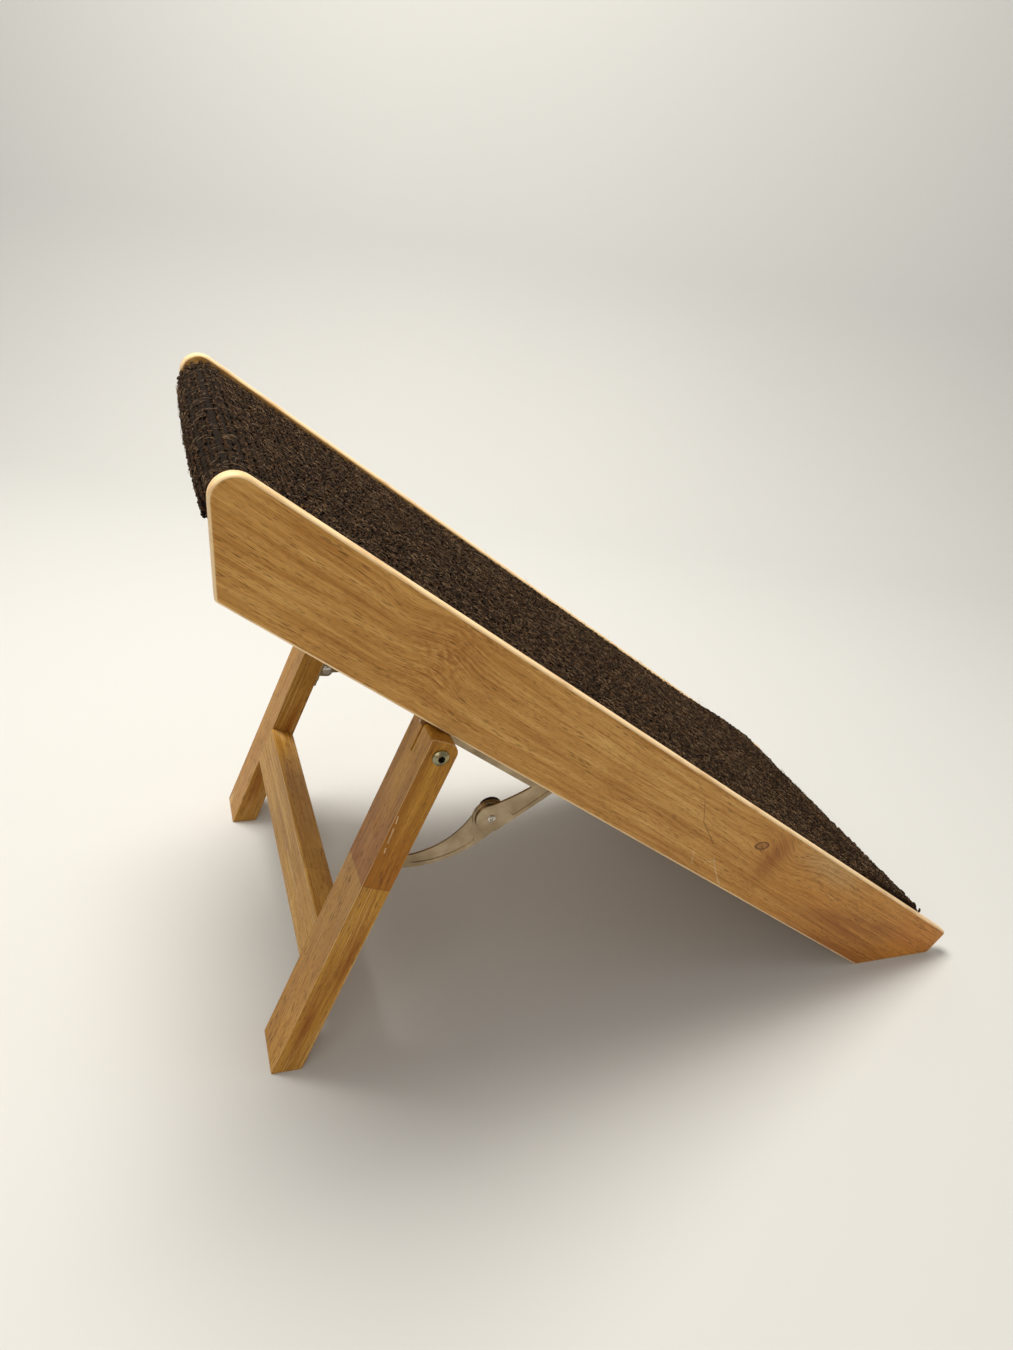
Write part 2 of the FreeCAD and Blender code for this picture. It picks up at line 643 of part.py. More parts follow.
def pivot_bolt(side):
    shank_end = LEG_FAR + WASHER_THICKNESS + NUT_HEIGHT + BOLT_PAST_NUT
    bolt = pin(PIVOT, BOLT_RADIUS, LEG_NEAR, shank_end, side)
    bolt = bolt.fuse(dome(PIVOT, *BOLT_HEAD, LEG_NEAR, side, -1))
    head_top = LEG_NEAR - BOLT_HEAD[2]
    return bolt.cut(layer(hexagon(PIVOT, SOCKET_FLATS), head_top - 1, head_top + SOCKET_DEPTH, side))


def pivot_washer(side):
    ring = pin(PIVOT, WASHER_RADIUS, LEG_FAR, LEG_FAR + WASHER_THICKNESS, side)
    return ring.cut(pin(PIVOT, BOLT_RADIUS, LEG_FAR, LEG_FAR + WASHER_THICKNESS, side))


def pivot_nut(side):
    near = LEG_FAR + WASHER_THICKNESS
    nut = layer(hexagon(PIVOT, NUT_FLATS), near, near + NUT_HEIGHT, side)
    return nut.cut(pin(PIVOT, BOLT_RADIUS, near, near + NUT_HEIGHT, side))


# Bracket on the front of each leg

def leg_bracket(side):
    low = BRACKET_UP_LEG - BRACKET_HALF_LENGTH
    high = BRACKET_UP_LEG + BRACKET_HALF_LENGTH
    face = LEG_DEPTH + BRACKET_THICKNESS
    base_corners = ((low, LEG_DEPTH), (low, face), (high, face), (high, LEG_DEPTH))
    base = rounded_face([(*on_leg(*corner), 0) for corner in base_corners])
    base = layer(base, FLANGE_IN, LEG_FAR - BRACKET_INSET, side)
    tip = LEG_DEPTH + BRACKET_REACH + FLANGE_HALF_TIP
    flange_corners = [(*on_leg(BRACKET_UP_LEG + up, forward), radius) for up, forward, radius in (
        (-FLANGE_HALF_ROOT, LEG_DEPTH, 0),
        (-FLANGE_HALF_TIP, tip, FLANGE_TIP_RADIUS),
        (FLANGE_HALF_TIP, tip, FLANGE_TIP_RADIUS),
        (FLANGE_HALF_ROOT, LEG_DEPTH, 0),
    )]
    flange = layer(rounded_face(flange_corners), FLANGE_IN, FLANGE_OUT, side)
    bracket = base.fuse(flange).removeSplitter()
    bracket = bracket.cut(pin(LEG_END, PIN_RADIUS, FLANGE_IN, FLANGE_OUT, side))
    for up in BRACKET_SCREW_UPS:
        bracket = bracket.cut(screw_hole(bracket_screw_start(up, side), BEHIND_LEG, BRACKET_SCREW_LENGTH))
    return bracket


def leg_end_rivet(side):
    tail_end = LOWER_IN - HEAD_GAP - RIVET_TAIL
    shank = pin(LEG_END, PIN_RADIUS, tail_end, FLANGE_OUT, side)
    head = dome(LEG_END, *LEG_END_HEAD, FLANGE_OUT, side, 1)
    tail = pin(LEG_END, RIVET_TAIL_RADIUS, tail_end, LOWER_IN - HEAD_GAP, side)
    return shank.fuse([head, tail]).removeSplitter()


# Stay arms. Local frames: x runs from one pivot to the other, z square to it.

def upper_arm_outline():
    return arc_face((
        (7.0, 10.7), (42.0, 6.2), (73.0, 7.6),
        (82.6, -1.8), (74.0, -7.9),
        (38.0, -10.9), (1.0, -12.76),
        (-12.4, 3.2),
    ))


def lower_arm_outline():
    tip = LOWER_ARM_LENGTH
    return arc_face((
        (3.0, 5.8), (-6.2, -1.8), (1.5, -6.3),
        (38.0, -18.7), (tip - 2.1, -CUP_RADIUS + 0.15),
        (tip + CUP_RADIUS, 0), (tip - 12.4, 8.79),
        (36.0, -2.0),
    ))


def pressed(solid, panel, origin, degrees, near, side):
    """Solid with a shallow pressed panel in its outward face."""
    return solid.cut(layer(placed(panel, origin, degrees), near - 1, near + EMBOSS_DEPTH, side))


def upper_arm(side):
    outline = placed(upper_arm_outline(), KNEE_OPEN, UPPER_HEADING)
    arm = layer(outline, UPPER_IN, UPPER_OUT, side)
    panel = arc_face((
        (17.0, 6.4), (42.0, 3.2), (66.0, 3.6),
        (68.5, -0.5), (66.0, -4.6),
        (42.0, -7.0), (17.0, -8.4),
        (15.0, -1.0),
    ))
    arm = pressed(arm, panel, KNEE_OPEN, UPPER_HEADING, UPPER_IN, side)
    arm = arm.cut(pin(ANCHOR, ANCHOR_RADIUS + RUNNING_FIT, UPPER_IN, UPPER_OUT, side))
    return arm.cut(pin(KNEE_OPEN, PIN_RADIUS, UPPER_IN, UPPER_OUT, side))


def lower_arm(side):
    outline = placed(lower_arm_outline(), LEG_END, LOWER_HEADING)
    arm = layer(outline, LOWER_IN, LOWER_OUT, side)
    panel = arc_face((
        (12.0, -1.2), (10.0, -4.0), (12.5, -7.2),
        (38.0, -15.2), (62.0, -14.6),
        (64.5, -8.0), (62.0, -0.6),
        (36.0, -5.4),
    ))
    arm = pressed(arm, panel, LEG_END, LOWER_HEADING, LOWER_IN, side)
    rim = CUP_RADIUS - CUP_SHOULDER
    wall = pin(KNEE_OPEN, rim, CUP_IN, LOWER_IN, side)
    wall = wall.cut(pin(KNEE_OPEN, rim - CUP_WALL, CUP_IN, LOWER_IN, side))
    arm = arm.fuse(wall).removeSplitter()
    arm = arm.cut(pin(LEG_END, PIN_RADIUS + RUNNING_FIT, LOWER_IN, LOWER_OUT, side))
    return arm.cut(pin(KNEE_OPEN, PIN_RADIUS, LOWER_IN, LOWER_OUT, side))


def knee_rivet(side):
    """Hollow rivet in the upper arm's half of the knee."""
    shank = pin(KNEE_OPEN, PIN_RADIUS, UPPER_IN, UPPER_OUT, side)
    rivet = shank.fuse(dome(KNEE_OPEN, *KNEE_HEAD, UPPER_IN, side, -1)).removeSplitter()
    return rivet.cut(pin(KNEE_OPEN, KNEE_HOLE_RADIUS, UPPER_IN - 2, UPPER_IN + KNEE_HOLE_DEPTH, side))


def knee_collar(side):
    """Collar in the lower arm's half of the knee, which the latch turns on."""
    shank = pin(KNEE_OPEN, PIN_RADIUS, LOWER_IN, LOWER_OUT, side)
    barrel = pin(KNEE_OPEN, COLLAR_RADIUS, LOWER_OUT, LATCH_OUT + SPRING_SPACE, side)
    head = dome(KNEE_OPEN, *COLLAR_HEAD, LATCH_OUT + SPRING_SPACE, side, 1)
    return shank.fuse([barrel, head]).removeSplitter()


def latch(side):
    """Thumb latch: a hub round the knee collar with a round tab above it."""
    tab_centre = turned((KNEE_OPEN[0] + LATCH_TAB[0], KNEE_OPEN[1] + LATCH_TAB[1]), KNEE_OPEN, LOWER_HEADING)
    body = pin(KNEE_OPEN, LATCH_HUB_RADIUS, LATCH_IN, LATCH_OUT, side)
    body = body.fuse(pin(tab_centre, LATCH_TAB_RADIUS, LATCH_IN, LATCH_OUT, side)).removeSplitter()
    lip_end = LATCH_OUT + LATCH_LIP
    lip = pin(tab_centre, LATCH_TAB_RADIUS, LATCH_OUT, lip_end, side)
    lip = lip.cut(pin(tab_centre, LATCH_TAB_RADIUS - LATCH_LIP_WIDTH, LATCH_OUT, lip_end, side))
    lip = lip.cut(pin(KNEE_OPEN, LATCH_LIP_CLEAR, LATCH_OUT, lip_end, side))
    body = body.fuse(lip).removeSplitter()
    return body.cut(pin(KNEE_OPEN, COLLAR_RADIUS + RUNNING_FIT, LATCH_IN, LATCH_OUT, side))


def latch_spring(side):
    """Torsion spring coil on the collar between the latch and the collar's head."""
    middle = across(LATCH_OUT + SPRING_SPACE / 2, side)
    coil_radius = COLLAR_RADIUS + SPRING_WIRE_RADIUS + HEAD_GAP
    centre = Vector(KNEE_OPEN[0], middle, KNEE_OPEN[1])
    coil = Part.makeTorus(coil_radius, SPRING_WIRE_RADIUS, centre, Vector(0, 1, 0))
    tail = Part.makeCylinder(SPRING_TAIL_RADIUS, SPRING_TAIL_LENGTH)
    start = turned((KNEE_OPEN[0] + 1.0, KNEE_OPEN[1] - coil_radius), KNEE_OPEN, LOWER_HEADING)
    back = math.radians(LOWER_HEADING + 180.0 + SPRING_TAIL_DIP)
    direction = (math.cos(back), 0, math.sin(back))
    return coil.fuse(pointed(tail, (start[0], middle, start[1]), direction))


def build():
    os.makedirs("parts", exist_ok=True)
    save("deck_panel", deck_panel())
    save("carpet", carpet())
    for name, along in zip(("toe_rail", "lower_rail", "upper_rail"), RAIL_POSITIONS):
        save(name, rail(along))
    save("head_rail", head_rail())
    save("rail_dowels", *[rail_dowel(point, side) for side in (-1, 1) for point in rail_dowel_points()])
    deck_screws = []
    for along in RAIL_POSITIONS:
        for start in rail_screw_starts(along):
            deck_screws.append(screw(start, UP_SQUARE, RAIL_SCREW_LENGTH))
    save("deck_screws", *deck_screws)
    save("crossbar", crossbar())
    save("crossbar_dowels", *[crossbar_dowel(up, side) for side in (-1, 1) for up in CROSSBAR_DOWEL_UPS])

    pieces = {
        "side_board": side_board,
        "stay_plate": stay_plate,
        "anchor_rivet": anchor_rivet,
        "leg": leg,
        "pivot_bolt": pivot_bolt,
        "pivot_washer": pivot_washer,
        "pivot_nut": pivot_nut,
        "leg_bracket": leg_bracket,
        "leg_end_rivet": leg_end_rivet,
        "upper_arm": upper_arm,
        "lower_arm": lower_arm,
        "knee_rivet": knee_rivet,
        "knee_collar": knee_collar,
        "latch": latch,
        "latch_spring": latch_spring,
    }
    for side_name, side in (("left", -1), ("right", 1)):
        for piece_name, make in pieces.items():
            save(side_name + "_" + piece_name, make(side))
        plate_screws = []
        for point in PLATE_SCREW_POINTS:
            plate_screws.append(screw(plate_screw_start(point, side), (0, side, 0), PLATE_SCREW_LENGTH))
        save(side_name + "_plate_screws", *plate_screws)
        bracket_screws = []
        for up in BRACKET_SCREW_UPS:
            bracket_screws.append(screw(bracket_screw_start(up, side), BEHIND_LEG, BRACKET_SCREW_LENGTH))
        save(side_name + "_bracket_screws", *bracket_screws)


build()
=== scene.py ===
import math

import bpy
import numpy as np
from mathutils import Matrix, Vector


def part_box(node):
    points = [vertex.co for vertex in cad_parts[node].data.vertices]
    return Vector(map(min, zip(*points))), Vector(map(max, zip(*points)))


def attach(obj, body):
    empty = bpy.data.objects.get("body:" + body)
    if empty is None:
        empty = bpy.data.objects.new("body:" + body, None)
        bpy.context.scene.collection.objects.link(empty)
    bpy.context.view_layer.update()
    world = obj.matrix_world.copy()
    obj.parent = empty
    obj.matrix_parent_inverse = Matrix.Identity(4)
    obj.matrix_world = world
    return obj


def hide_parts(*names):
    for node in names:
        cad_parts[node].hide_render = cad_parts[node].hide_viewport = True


# Folding dog ramp: lacquered rubberwood boards and legs, a looped wool carpet, and pressed steel stays.
# Metres in the frame of the CAD model: +X runs down the ramp, +Z is up, and the left side is at -Y.

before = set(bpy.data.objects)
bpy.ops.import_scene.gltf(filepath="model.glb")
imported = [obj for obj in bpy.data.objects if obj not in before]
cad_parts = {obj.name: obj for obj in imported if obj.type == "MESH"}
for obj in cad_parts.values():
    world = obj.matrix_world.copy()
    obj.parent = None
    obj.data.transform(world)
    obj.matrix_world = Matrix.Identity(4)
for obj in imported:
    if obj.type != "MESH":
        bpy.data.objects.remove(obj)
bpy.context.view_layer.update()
rng = np.random.default_rng(7)

MM = 0.001
RAMP_ANGLE = math.radians(33.75)
LEG_LEAN = math.radians(19.75)
DOWN_RAMP = Vector((math.cos(RAMP_ANGLE), 0, -math.sin(RAMP_ANGLE)))
OFF_RAMP = Vector((math.sin(RAMP_ANGLE), 0, math.cos(RAMP_ANGLE)))
UP_LEG = Vector((math.sin(LEG_LEAN), 0, math.cos(LEG_LEAN)))
OUT_OF_LEG = Vector((math.cos(LEG_LEAN), 0, -math.sin(LEG_LEAN)))
ACROSS = Vector((0, 1, 0))
UP = Vector((0, 0, 1))

# Camera
CAMERA_AT = Vector((-0.40011, -0.80474, 0.68369))
CAMERA_YAW = 0.37646
CAMERA_PITCH = 0.46264
CAMERA_ROLL = 0.12694
LENS = 27.058
SENSOR = 36.0

# From the heel of the boards' foot, where they are measured from, to the tip of their toe
HEEL_TO_TOE = 105.81 * MM

# Deck under the carpet
DECK_THICKNESS = 9.0 * MM
DECK_NOSE_RADIUS = 14.0 * MM
HEAD_LEAN = math.radians(3.0)       # of the face under the nosing: its top leans out, away from the ramp

# Carpet
BACKING_THICKNESS = 1.4 * MM
BACKING_GAP = 0.1 * MM              # off the deck
BACKING_TOP = BACKING_GAP + BACKING_THICKNESS
NOSING_RADIUS = 20.0 * MM
PILE_HEIGHT = 6.0 * MM              # off the deck
MIDDLE_RISE = 3.0 * MM              # of the pile over that height, part way down the ramp
MIDDLE_RISE_SPAN = (0.14, 0.56)     # where it starts and is complete, from the head's hem
TOE_RISE = 7.2 * MM                 # of the pile at the toe
TOE_RISE_SPAN = (0.16, 0.05)        # where it starts and is complete, from the toe's hem
HEAD_BELLY = 3.0 * MM               # of the pile at the head's hem, midway between the boards
GROUND_DEPTH = 2.7 * MM             # of the wool between the loops, under the top of the pile
GROUND_STEP = 2.6 * MM
LOOP_ROW = 5.0 * MM                 # from row to row
LOOP_PITCH = 4.4 * MM               # from loop to loop in a row
FURROW_PITCH = 2 * LOOP_ROW         # the rows part in pairs
FURROW_REACH = 0.16                 # down the ramp from the nosing
FURROW_DEPTH = 2.2 * MM
FURROW_WIDTH = 1.7 * MM


# Node trees

class Tree:
    """A material's node tree, with one short call for each kind of node."""

    def __init__(self, name):
        self.material = bpy.data.materials.new(name)
        self.material.use_nodes = True
        self.nodes = self.material.node_tree.nodes
        self.links = self.material.node_tree.links
        self.nodes.clear()

    def set(self, socket, value):
        if isinstance(value, bpy.types.NodeSocket):
            self.links.new(value, socket)
        else:
            socket.default_value = value

    def add(self, kind, inputs=None, output=0, **settings):
        node = self.nodes.new("ShaderNode" + kind)
        for name, value in settings.items():
            setattr(node, name, value)
        for socket, value in (inputs or {}).items():
            self.set(node.inputs[socket], value)
        return node.outputs[output]

    def math(self, operation, a, b=0.0, clamp=False):
        return self.add("Math", {0: a, 1: b}, operation=operation, use_clamp=clamp)

    def times(self, a, b):
        return self.math("MULTIPLY", a, b)

    def plus(self, a, b):
        return self.math("ADD", a, b)

    def vector(self, operation, a, b):
        output = "Value" if operation == "DOT_PRODUCT" else "Vector"
        return self.add("VectorMath", {0: a, 1: b}, output, operation=operation)

    def noise(self, at, detail=2.0, roughness=0.5):
        inputs = {"Vector": at, "Scale": 1.0, "Detail": detail, "Roughness": roughness}
        return self.add("TexNoise", inputs, "Fac")

    def smooth(self, value, low, high):
        """0 below low and 1 above high, or the reverse where low is the higher."""
        inputs = {"Value": value, "From Min": low, "From Max": high}
        return self.add("MapRange", inputs, "Result", interpolation_type="SMOOTHSTEP")

    def mix(self, a, b, factor, blend="MIX"):
        node = self.nodes.new("ShaderNodeMix")
        node.data_type = "RGBA"
        node.blend_type = blend
        for index, value in ((0, factor), (6, a), (7, b)):
            self.set(node.inputs[index], (*value, 1.0) if isinstance(value, tuple) else value)
        return node.outputs[2]

    def ramp(self, value, stops):
        node = self.nodes.new("ShaderNodeValToRGB")
        self.set(node.inputs[0], value)
        elements = node.color_ramp.elements
        while len(elements) < len(stops):
            elements.new(0.5)
        for element, (position, colour) in zip(elements, stops):
            element.position = position
            element.color = (*colour, 1.0)
        return node.outputs[0]

    def bump(self, height, distance):
        return self.add("Bump", {"Height": height, "Distance": distance, "Strength": 1.0})

    def finish(self, **inputs):
        """The Principled shader: names with underscores for spaces."""
        named = {name.replace("_", " "): value for name, value in inputs.items()}
        for name in ("Base Color", "Specular Tint", "Sheen Tint"):
            if isinstance(named.get(name), tuple):
                named[name] = (*named[name], 1.0)
        shader = self.add("BsdfPrincipled", named)
        output = self.nodes.new("ShaderNodeOutputMaterial")
        self.links.new(shader, output.inputs["Surface"])
        return self.material


def stretched(tree, place, scale, shift=0.0):
    """Place in millimetres, shrunk by a length for each axis, so that noise there is that size."""
    sizes = tuple(1.0 / length for length in scale)
    scaled = tree.vector("MULTIPLY", place, sizes)
    if not shift:
        return scaled
    return tree.vector("ADD", scaled, (shift, shift * 1.7, shift * 0.6))


def timber_space(tree, origin, along, across):
    """Millimetres along the grain, across it and through the piece, from an origin."""
    place = tree.add("TexCoord", output="Object")
    offset = tree.vector("SUBTRACT", place, tuple(origin))
    through = along.cross(across)
    return [tree.vector("DOT_PRODUCT", offset, tuple(axis / MM)) for axis in (along, across, through)]


def flat_place(tree, u, v):
    """Place in a plane, for marks that don't change through the piece."""
    return tree.add("CombineXYZ", {0: u, 1: v, 2: 0.0})


def millimetre_place(tree):
    """Place on the object, in millimetres."""
    return tree.vector("MULTIPLY", tree.add("TexCoord", output="Object"), (1 / MM,) * 3)


def near(tree, u, v, centre, size):
    """1 at a centre, falling to 0 about an ellipse of that size."""
    du = tree.times(tree.math("SUBTRACT", u, centre[0]), 1.0 / size[0])
    dv = tree.times(tree.math("SUBTRACT", v, centre[1]), 1.0 / size[1])
    squared = tree.plus(tree.times(du, du), tree.times(dv, dv))
    return tree.math("EXPONENT", tree.times(squared, -1.0))


def line_mark(tree, u, v, start, end, width):
    """1 on a line between two points, falling to 0 at its width."""
    run = (end[0] - start[0], end[1] - start[1])
    length_squared = run[0] ** 2 + run[1] ** 2
    du = tree.math("SUBTRACT", u, start[0])
    dv = tree.math("SUBTRACT", v, start[1])
    dot = tree.plus(tree.times(du, run[0]), tree.times(dv, run[1]))
    share = tree.times(dot, 1.0 / length_squared)
    share = tree.math("MINIMUM", tree.math("MAXIMUM", share, 0.0), 1.0)
    gap_u = tree.math("SUBTRACT", du, tree.times(share, run[0]))
    gap_v = tree.math("SUBTRACT", dv, tree.times(share, run[1]))
    gap = tree.math("SQRT", tree.plus(tree.times(gap_u, gap_u), tree.times(gap_v, gap_v)))
    return tree.smooth(gap, width, width * 0.3)


# Wood

def shaded(tree, colour, tint, amount):
    """Colour darkened by a tint, by an amount from 0 to 1."""
    return tree.mix(colour, tree.mix(colour, tint, 1.0, "MULTIPLY"), amount)


def dashes(tree, grain, size, seed, share):
    """Short lens-shaped marks along the grain. A higher share leaves fewer of them."""
    place = stretched(tree, grain, size, seed)
    cell = tree.add("TexVoronoi", {"Vector": place, "Scale": 1.0, "Randomness": 1.0}, "Distance")
    drawn = tree.add("TexVoronoi", {"Vector": place, "Scale": 1.0, "Randomness": 1.0}, "Color")
    return tree.times(tree.smooth(cell, 0.40, 0.16), tree.smooth(drawn, share, share + 0.08))


# Sizes of the figure in millimetres: along the grain, across it and through the piece
WANDER = (150, 60, 60)
BAND = (260, 8.5, 14)
CLOUD = (75, 22, 30)
STREAK = (85, 2.3, 3.4)
FIBRE = (30, 0.75, 1.2)
CROWD = (80, 9, 12)
LONG_PORE = (14.0, 0.95, 2.4)
SHORT_PORE = (7.0, 0.5, 1.3)
EDGE_UNEVENNESS = (34, 12, 12)
POLISH = (24, 10, 10)

# Dark, middle and light tones
HONEY = ((0.50, 0.245, 0.056), (0.64, 0.345, 0.092), (0.76, 0.465, 0.15))
AMBER = ((0.47, 0.235, 0.042), (0.59, 0.33, 0.064), (0.74, 0.46, 0.115))
ORANGE = ((0.35, 0.150, 0.015), (0.47, 0.225, 0.027), (0.60, 0.32, 0.052))
# The far leg's orange, darkened as painted shade.
ORANGE_IN_PAINTED_SHADE = ((0.22, 0.085, 0.008), (0.31, 0.135, 0.015), (0.41, 0.20, 0.03))
RAW = ((0.50, 0.31, 0.15), (0.56, 0.37, 0.19), (0.63, 0.44, 0.25))

PORE = (0.15, 0.062, 0.015)
STREAK_TINT = (0.82, 0.74, 0.62)
FIBRE_TINT = (0.82, 0.75, 0.64)
# Pale colour of the wood's narrow edges: partly wear, partly painted highlight where the light falls on the
# edges.
PALE_EDGE_WEAR_AND_HIGHLIGHT = (0.95, 0.72, 0.42)
PALE_STREAK = (0.80, 0.56, 0.27)
PALE_SCRATCH = (0.74, 0.56, 0.32)
SCUFF = (0.80, 0.62, 0.38)
TOE_WOOD = (0.60, 0.262, 0.036)
TOE_END_WOOD = (0.66, 0.27, 0.04)
RED_LEG = (0.40, 0.145, 0.014)
YELLOW_LEG = (0.68, 0.38, 0.075)
HEARTWOOD = (0.36, 0.128, 0.018)
SAPWOOD = (0.66, 0.45, 0.20)
KNOT = (0.30, 0.13, 0.035)
KNOT_RIM = (0.16, 0.062, 0.018)


def worn_and_highlit_edges(tree, place, colour, seed, edges, arris):
    """Paler wood, uneven, on the narrow edges and arrises of a piece that stands square to Y: partly wear,
    partly painted highlight of the light falling on those edges.
    """
    normal = tree.add("TexCoord", output="Normal")
    facing = tree.math("ABSOLUTE", tree.vector("DOT_PRODUCT", normal, tuple(ACROSS)))
    rounded = tree.times(tree.smooth(facing, 0.05, 0.35), arris - edges)
    paler = tree.times(tree.smooth(facing, 0.99, 0.86), tree.plus(rounded, edges))
    uneven = tree.smooth(tree.noise(stretched(tree, place, EDGE_UNEVENNESS, seed + 2), 3.0), 0.28, 0.52)
    return tree.mix(colour, PALE_EDGE_WEAR_AND_HIGHLIGHT, tree.times(paler, tree.plus(tree.times(uneven, 0.5), 0.5)))


def wood(
        name, origin, along, across, tones, seed,
        pores=0.95, lacquer=0.12, warp=None, features=None, edges=0.0, arris=0.0):
    """Open-pored timber. warp bends the grain and features draws on it; both work in millimetres.

    edges and arris are how pale the narrow edges and the rounded arrises are, on a piece square to Y: partly
    wear, partly painted highlight.
    """
    tree = Tree(name)
    u, v, w = timber_space(tree, origin, along, across)
    straight = tree.add("CombineXYZ", {0: u, 1: v, 2: w})
    wander = tree.noise(stretched(tree, straight, WANDER, seed), 1.0)
    bent = tree.plus(v, tree.times(tree.math("SUBTRACT", wander, 0.5), 7.0))
    if warp:
        bent = tree.plus(bent, warp(tree, u, v))
    grain = tree.add("CombineXYZ", {0: u, 1: bent, 2: w})

    bands = tree.noise(stretched(tree, grain, BAND, seed), 4.0, 0.55)
    cloud = tree.noise(stretched(tree, grain, CLOUD, seed + 3), 2.0)
    tone = tree.plus(tree.times(bands, 0.68), tree.times(cloud, 0.32))
    colour = tree.ramp(tone, tuple(zip((0.34, 0.5, 0.66), tones)))
    if features:
        colour = features(tree, u, v, bent, colour)

    fibre = tree.noise(stretched(tree, grain, FIBRE, seed + 5), 3.0, 0.6)
    streak = tree.noise(stretched(tree, grain, STREAK, seed + 6), 3.0, 0.6)
    colour = shaded(tree, colour, STREAK_TINT, tree.smooth(streak, 0.56, 0.36))
    colour = shaded(tree, colour, FIBRE_TINT, tree.smooth(fibre, 0.62, 0.34))

    crowded = tree.smooth(tree.noise(stretched(tree, grain, CROWD, seed + 9), 2.0), 0.34, 0.60)
    coarse = tree.times(dashes(tree, grain, LONG_PORE, seed, 0.48), crowded)
    fine = dashes(tree, grain, SHORT_PORE, seed + 17, 0.46)
    pore = tree.math("MAXIMUM", coarse, tree.times(fine, 0.75))
    colour = tree.mix(colour, PORE, tree.times(pore, pores))

    # Paler edges and arrises: partly wear, partly painted highlight.
    if arris:
        colour = worn_and_highlit_edges(tree, straight, colour, seed, edges, arris)

    polish = tree.noise(stretched(tree, straight, POLISH, seed + 12), 3.0)
    rough = tree.plus(tree.times(polish, 0.22), 0.34)
    rough = tree.plus(rough, tree.times(pore, 0.2))
    relief = tree.plus(tree.times(fibre, 0.35), tree.times(pore, -0.9))
    normal = tree.bump(relief, 0.09 * MM)
    return tree.finish(
        Base_Color=colour, Roughness=rough, Normal=normal, Specular_IOR_Level=0.2,
        Coat_Weight=lacquer, Coat_Roughness=0.3, Coat_IOR=1.45)


# Places on the side boards, in millimetres along the board from its foot and above its bottom edge
KNOT_AT = (222.0, 54.5)
KNOT_SIZE = (7.0, 4.6)
SWIRL_AT = (178.0, 60.0)
CURL_AT = (594.0, 50.0)
SECOND_CURL_AT = (640.0, 68.0)
DARK_SCRATCHES = (((311, 61), (296, 45)), ((296, 45), (270, 33)))
PALE_SCRATCHES = (
    ((282, 18.5), (274, 8)), ((258, 22.5), (245, 12.5)), ((245, 12.5), (229, 2.5)), ((262, 16), (254, 19)),
)
SWIRL_RING_AT = (200.0, 52.0)
PALE_WEDGE_AT = (128.0, 71.0)
HEART_LEVEL = 62.0
HEART_SLOPE = -0.25


def left_board_warp(tree, u, v):
    """Grain that runs round the knot, dips at the swirl and curls in the figured patch."""
    off_knot = tree.math("SUBTRACT", v, KNOT_AT[1])
    round_knot = tree.times(tree.times(off_knot, near(tree, u, v, KNOT_AT, (24, 15))), -0.75)
    swirl = tree.times(near(tree, u, v, SWIRL_AT, (30, 26)), 12.0)
    curl = tree.times(near(tree, u, v, CURL_AT, (24, 30)), -8.0)
    second = tree.times(near(tree, u, v, SECOND_CURL_AT, (20, 18)), 4.0)
    return tree.plus(tree.plus(round_knot, swirl), tree.plus(curl, second))


def heartwood(tree, u, v, bent, colour):
    """Darker, streaked wood near the toe, under a ragged line that falls toward the head."""
    place = flat_place(tree, u, v)
    stray = tree.times(tree.math("SUBTRACT", tree.noise(stretched(tree, place, (46, 14, 1)), 3.0), 0.5), 26.0)
    level = tree.plus(tree.plus(tree.times(u, HEART_SLOPE), HEART_LEVEL), stray)
    under = tree.smooth(tree.math("SUBTRACT", v, level), 10.0, -14.0)
    toward_toe = tree.smooth(u, 250.0, 60.0)
    streaks = tree.noise(stretched(tree, flat_place(tree, u, bent), (150, 6, 1), 4), 3.0)
    depth = tree.plus(tree.times(tree.smooth(streaks, 0.34, 0.62), 0.7), 0.08)
    colour = tree.mix(colour, TOE_WOOD, tree.times(tree.smooth(u, 330.0, 90.0), 0.7))
    colour = tree.mix(colour, HEARTWOOD, tree.times(tree.times(under, toward_toe), depth))
    colour = tree.mix(colour, HEARTWOOD, tree.times(near(tree, u, v, SWIRL_RING_AT, (11, 30)), 0.75))
    colour = tree.mix(colour, SAPWOOD, tree.times(near(tree, u, v, PALE_WEDGE_AT, (46, 13)), 0.7))
    return tree.mix(colour, TOE_END_WOOD, tree.times(tree.smooth(u, 16.0, -40.0), 0.6))


def knot(tree, u, v, colour):
    """A small knot, tilted across the grain, with a dark rim."""
    lean = tree.times(tree.math("SUBTRACT", u, KNOT_AT[0]), 0.35)
    inside = near(tree, u, tree.plus(v, lean), KNOT_AT, KNOT_SIZE)
    rim = tree.times(tree.smooth(inside, 0.26, 0.42), tree.smooth(inside, 0.66, 0.48))
    colour = tree.mix(colour, KNOT, tree.times(tree.smooth(inside, 0.25, 0.5), 0.55))
    return tree.mix(colour, KNOT_RIM, tree.times(rim, 0.85))


def scratches(tree, u, v, colour, lines, tone, width, depth):
    """Straight marks of one tone between pairs of points."""
    for start, end in lines:
        colour = tree.mix(colour, tone, tree.times(line_mark(tree, u, v, start, end, width), depth))
    return colour


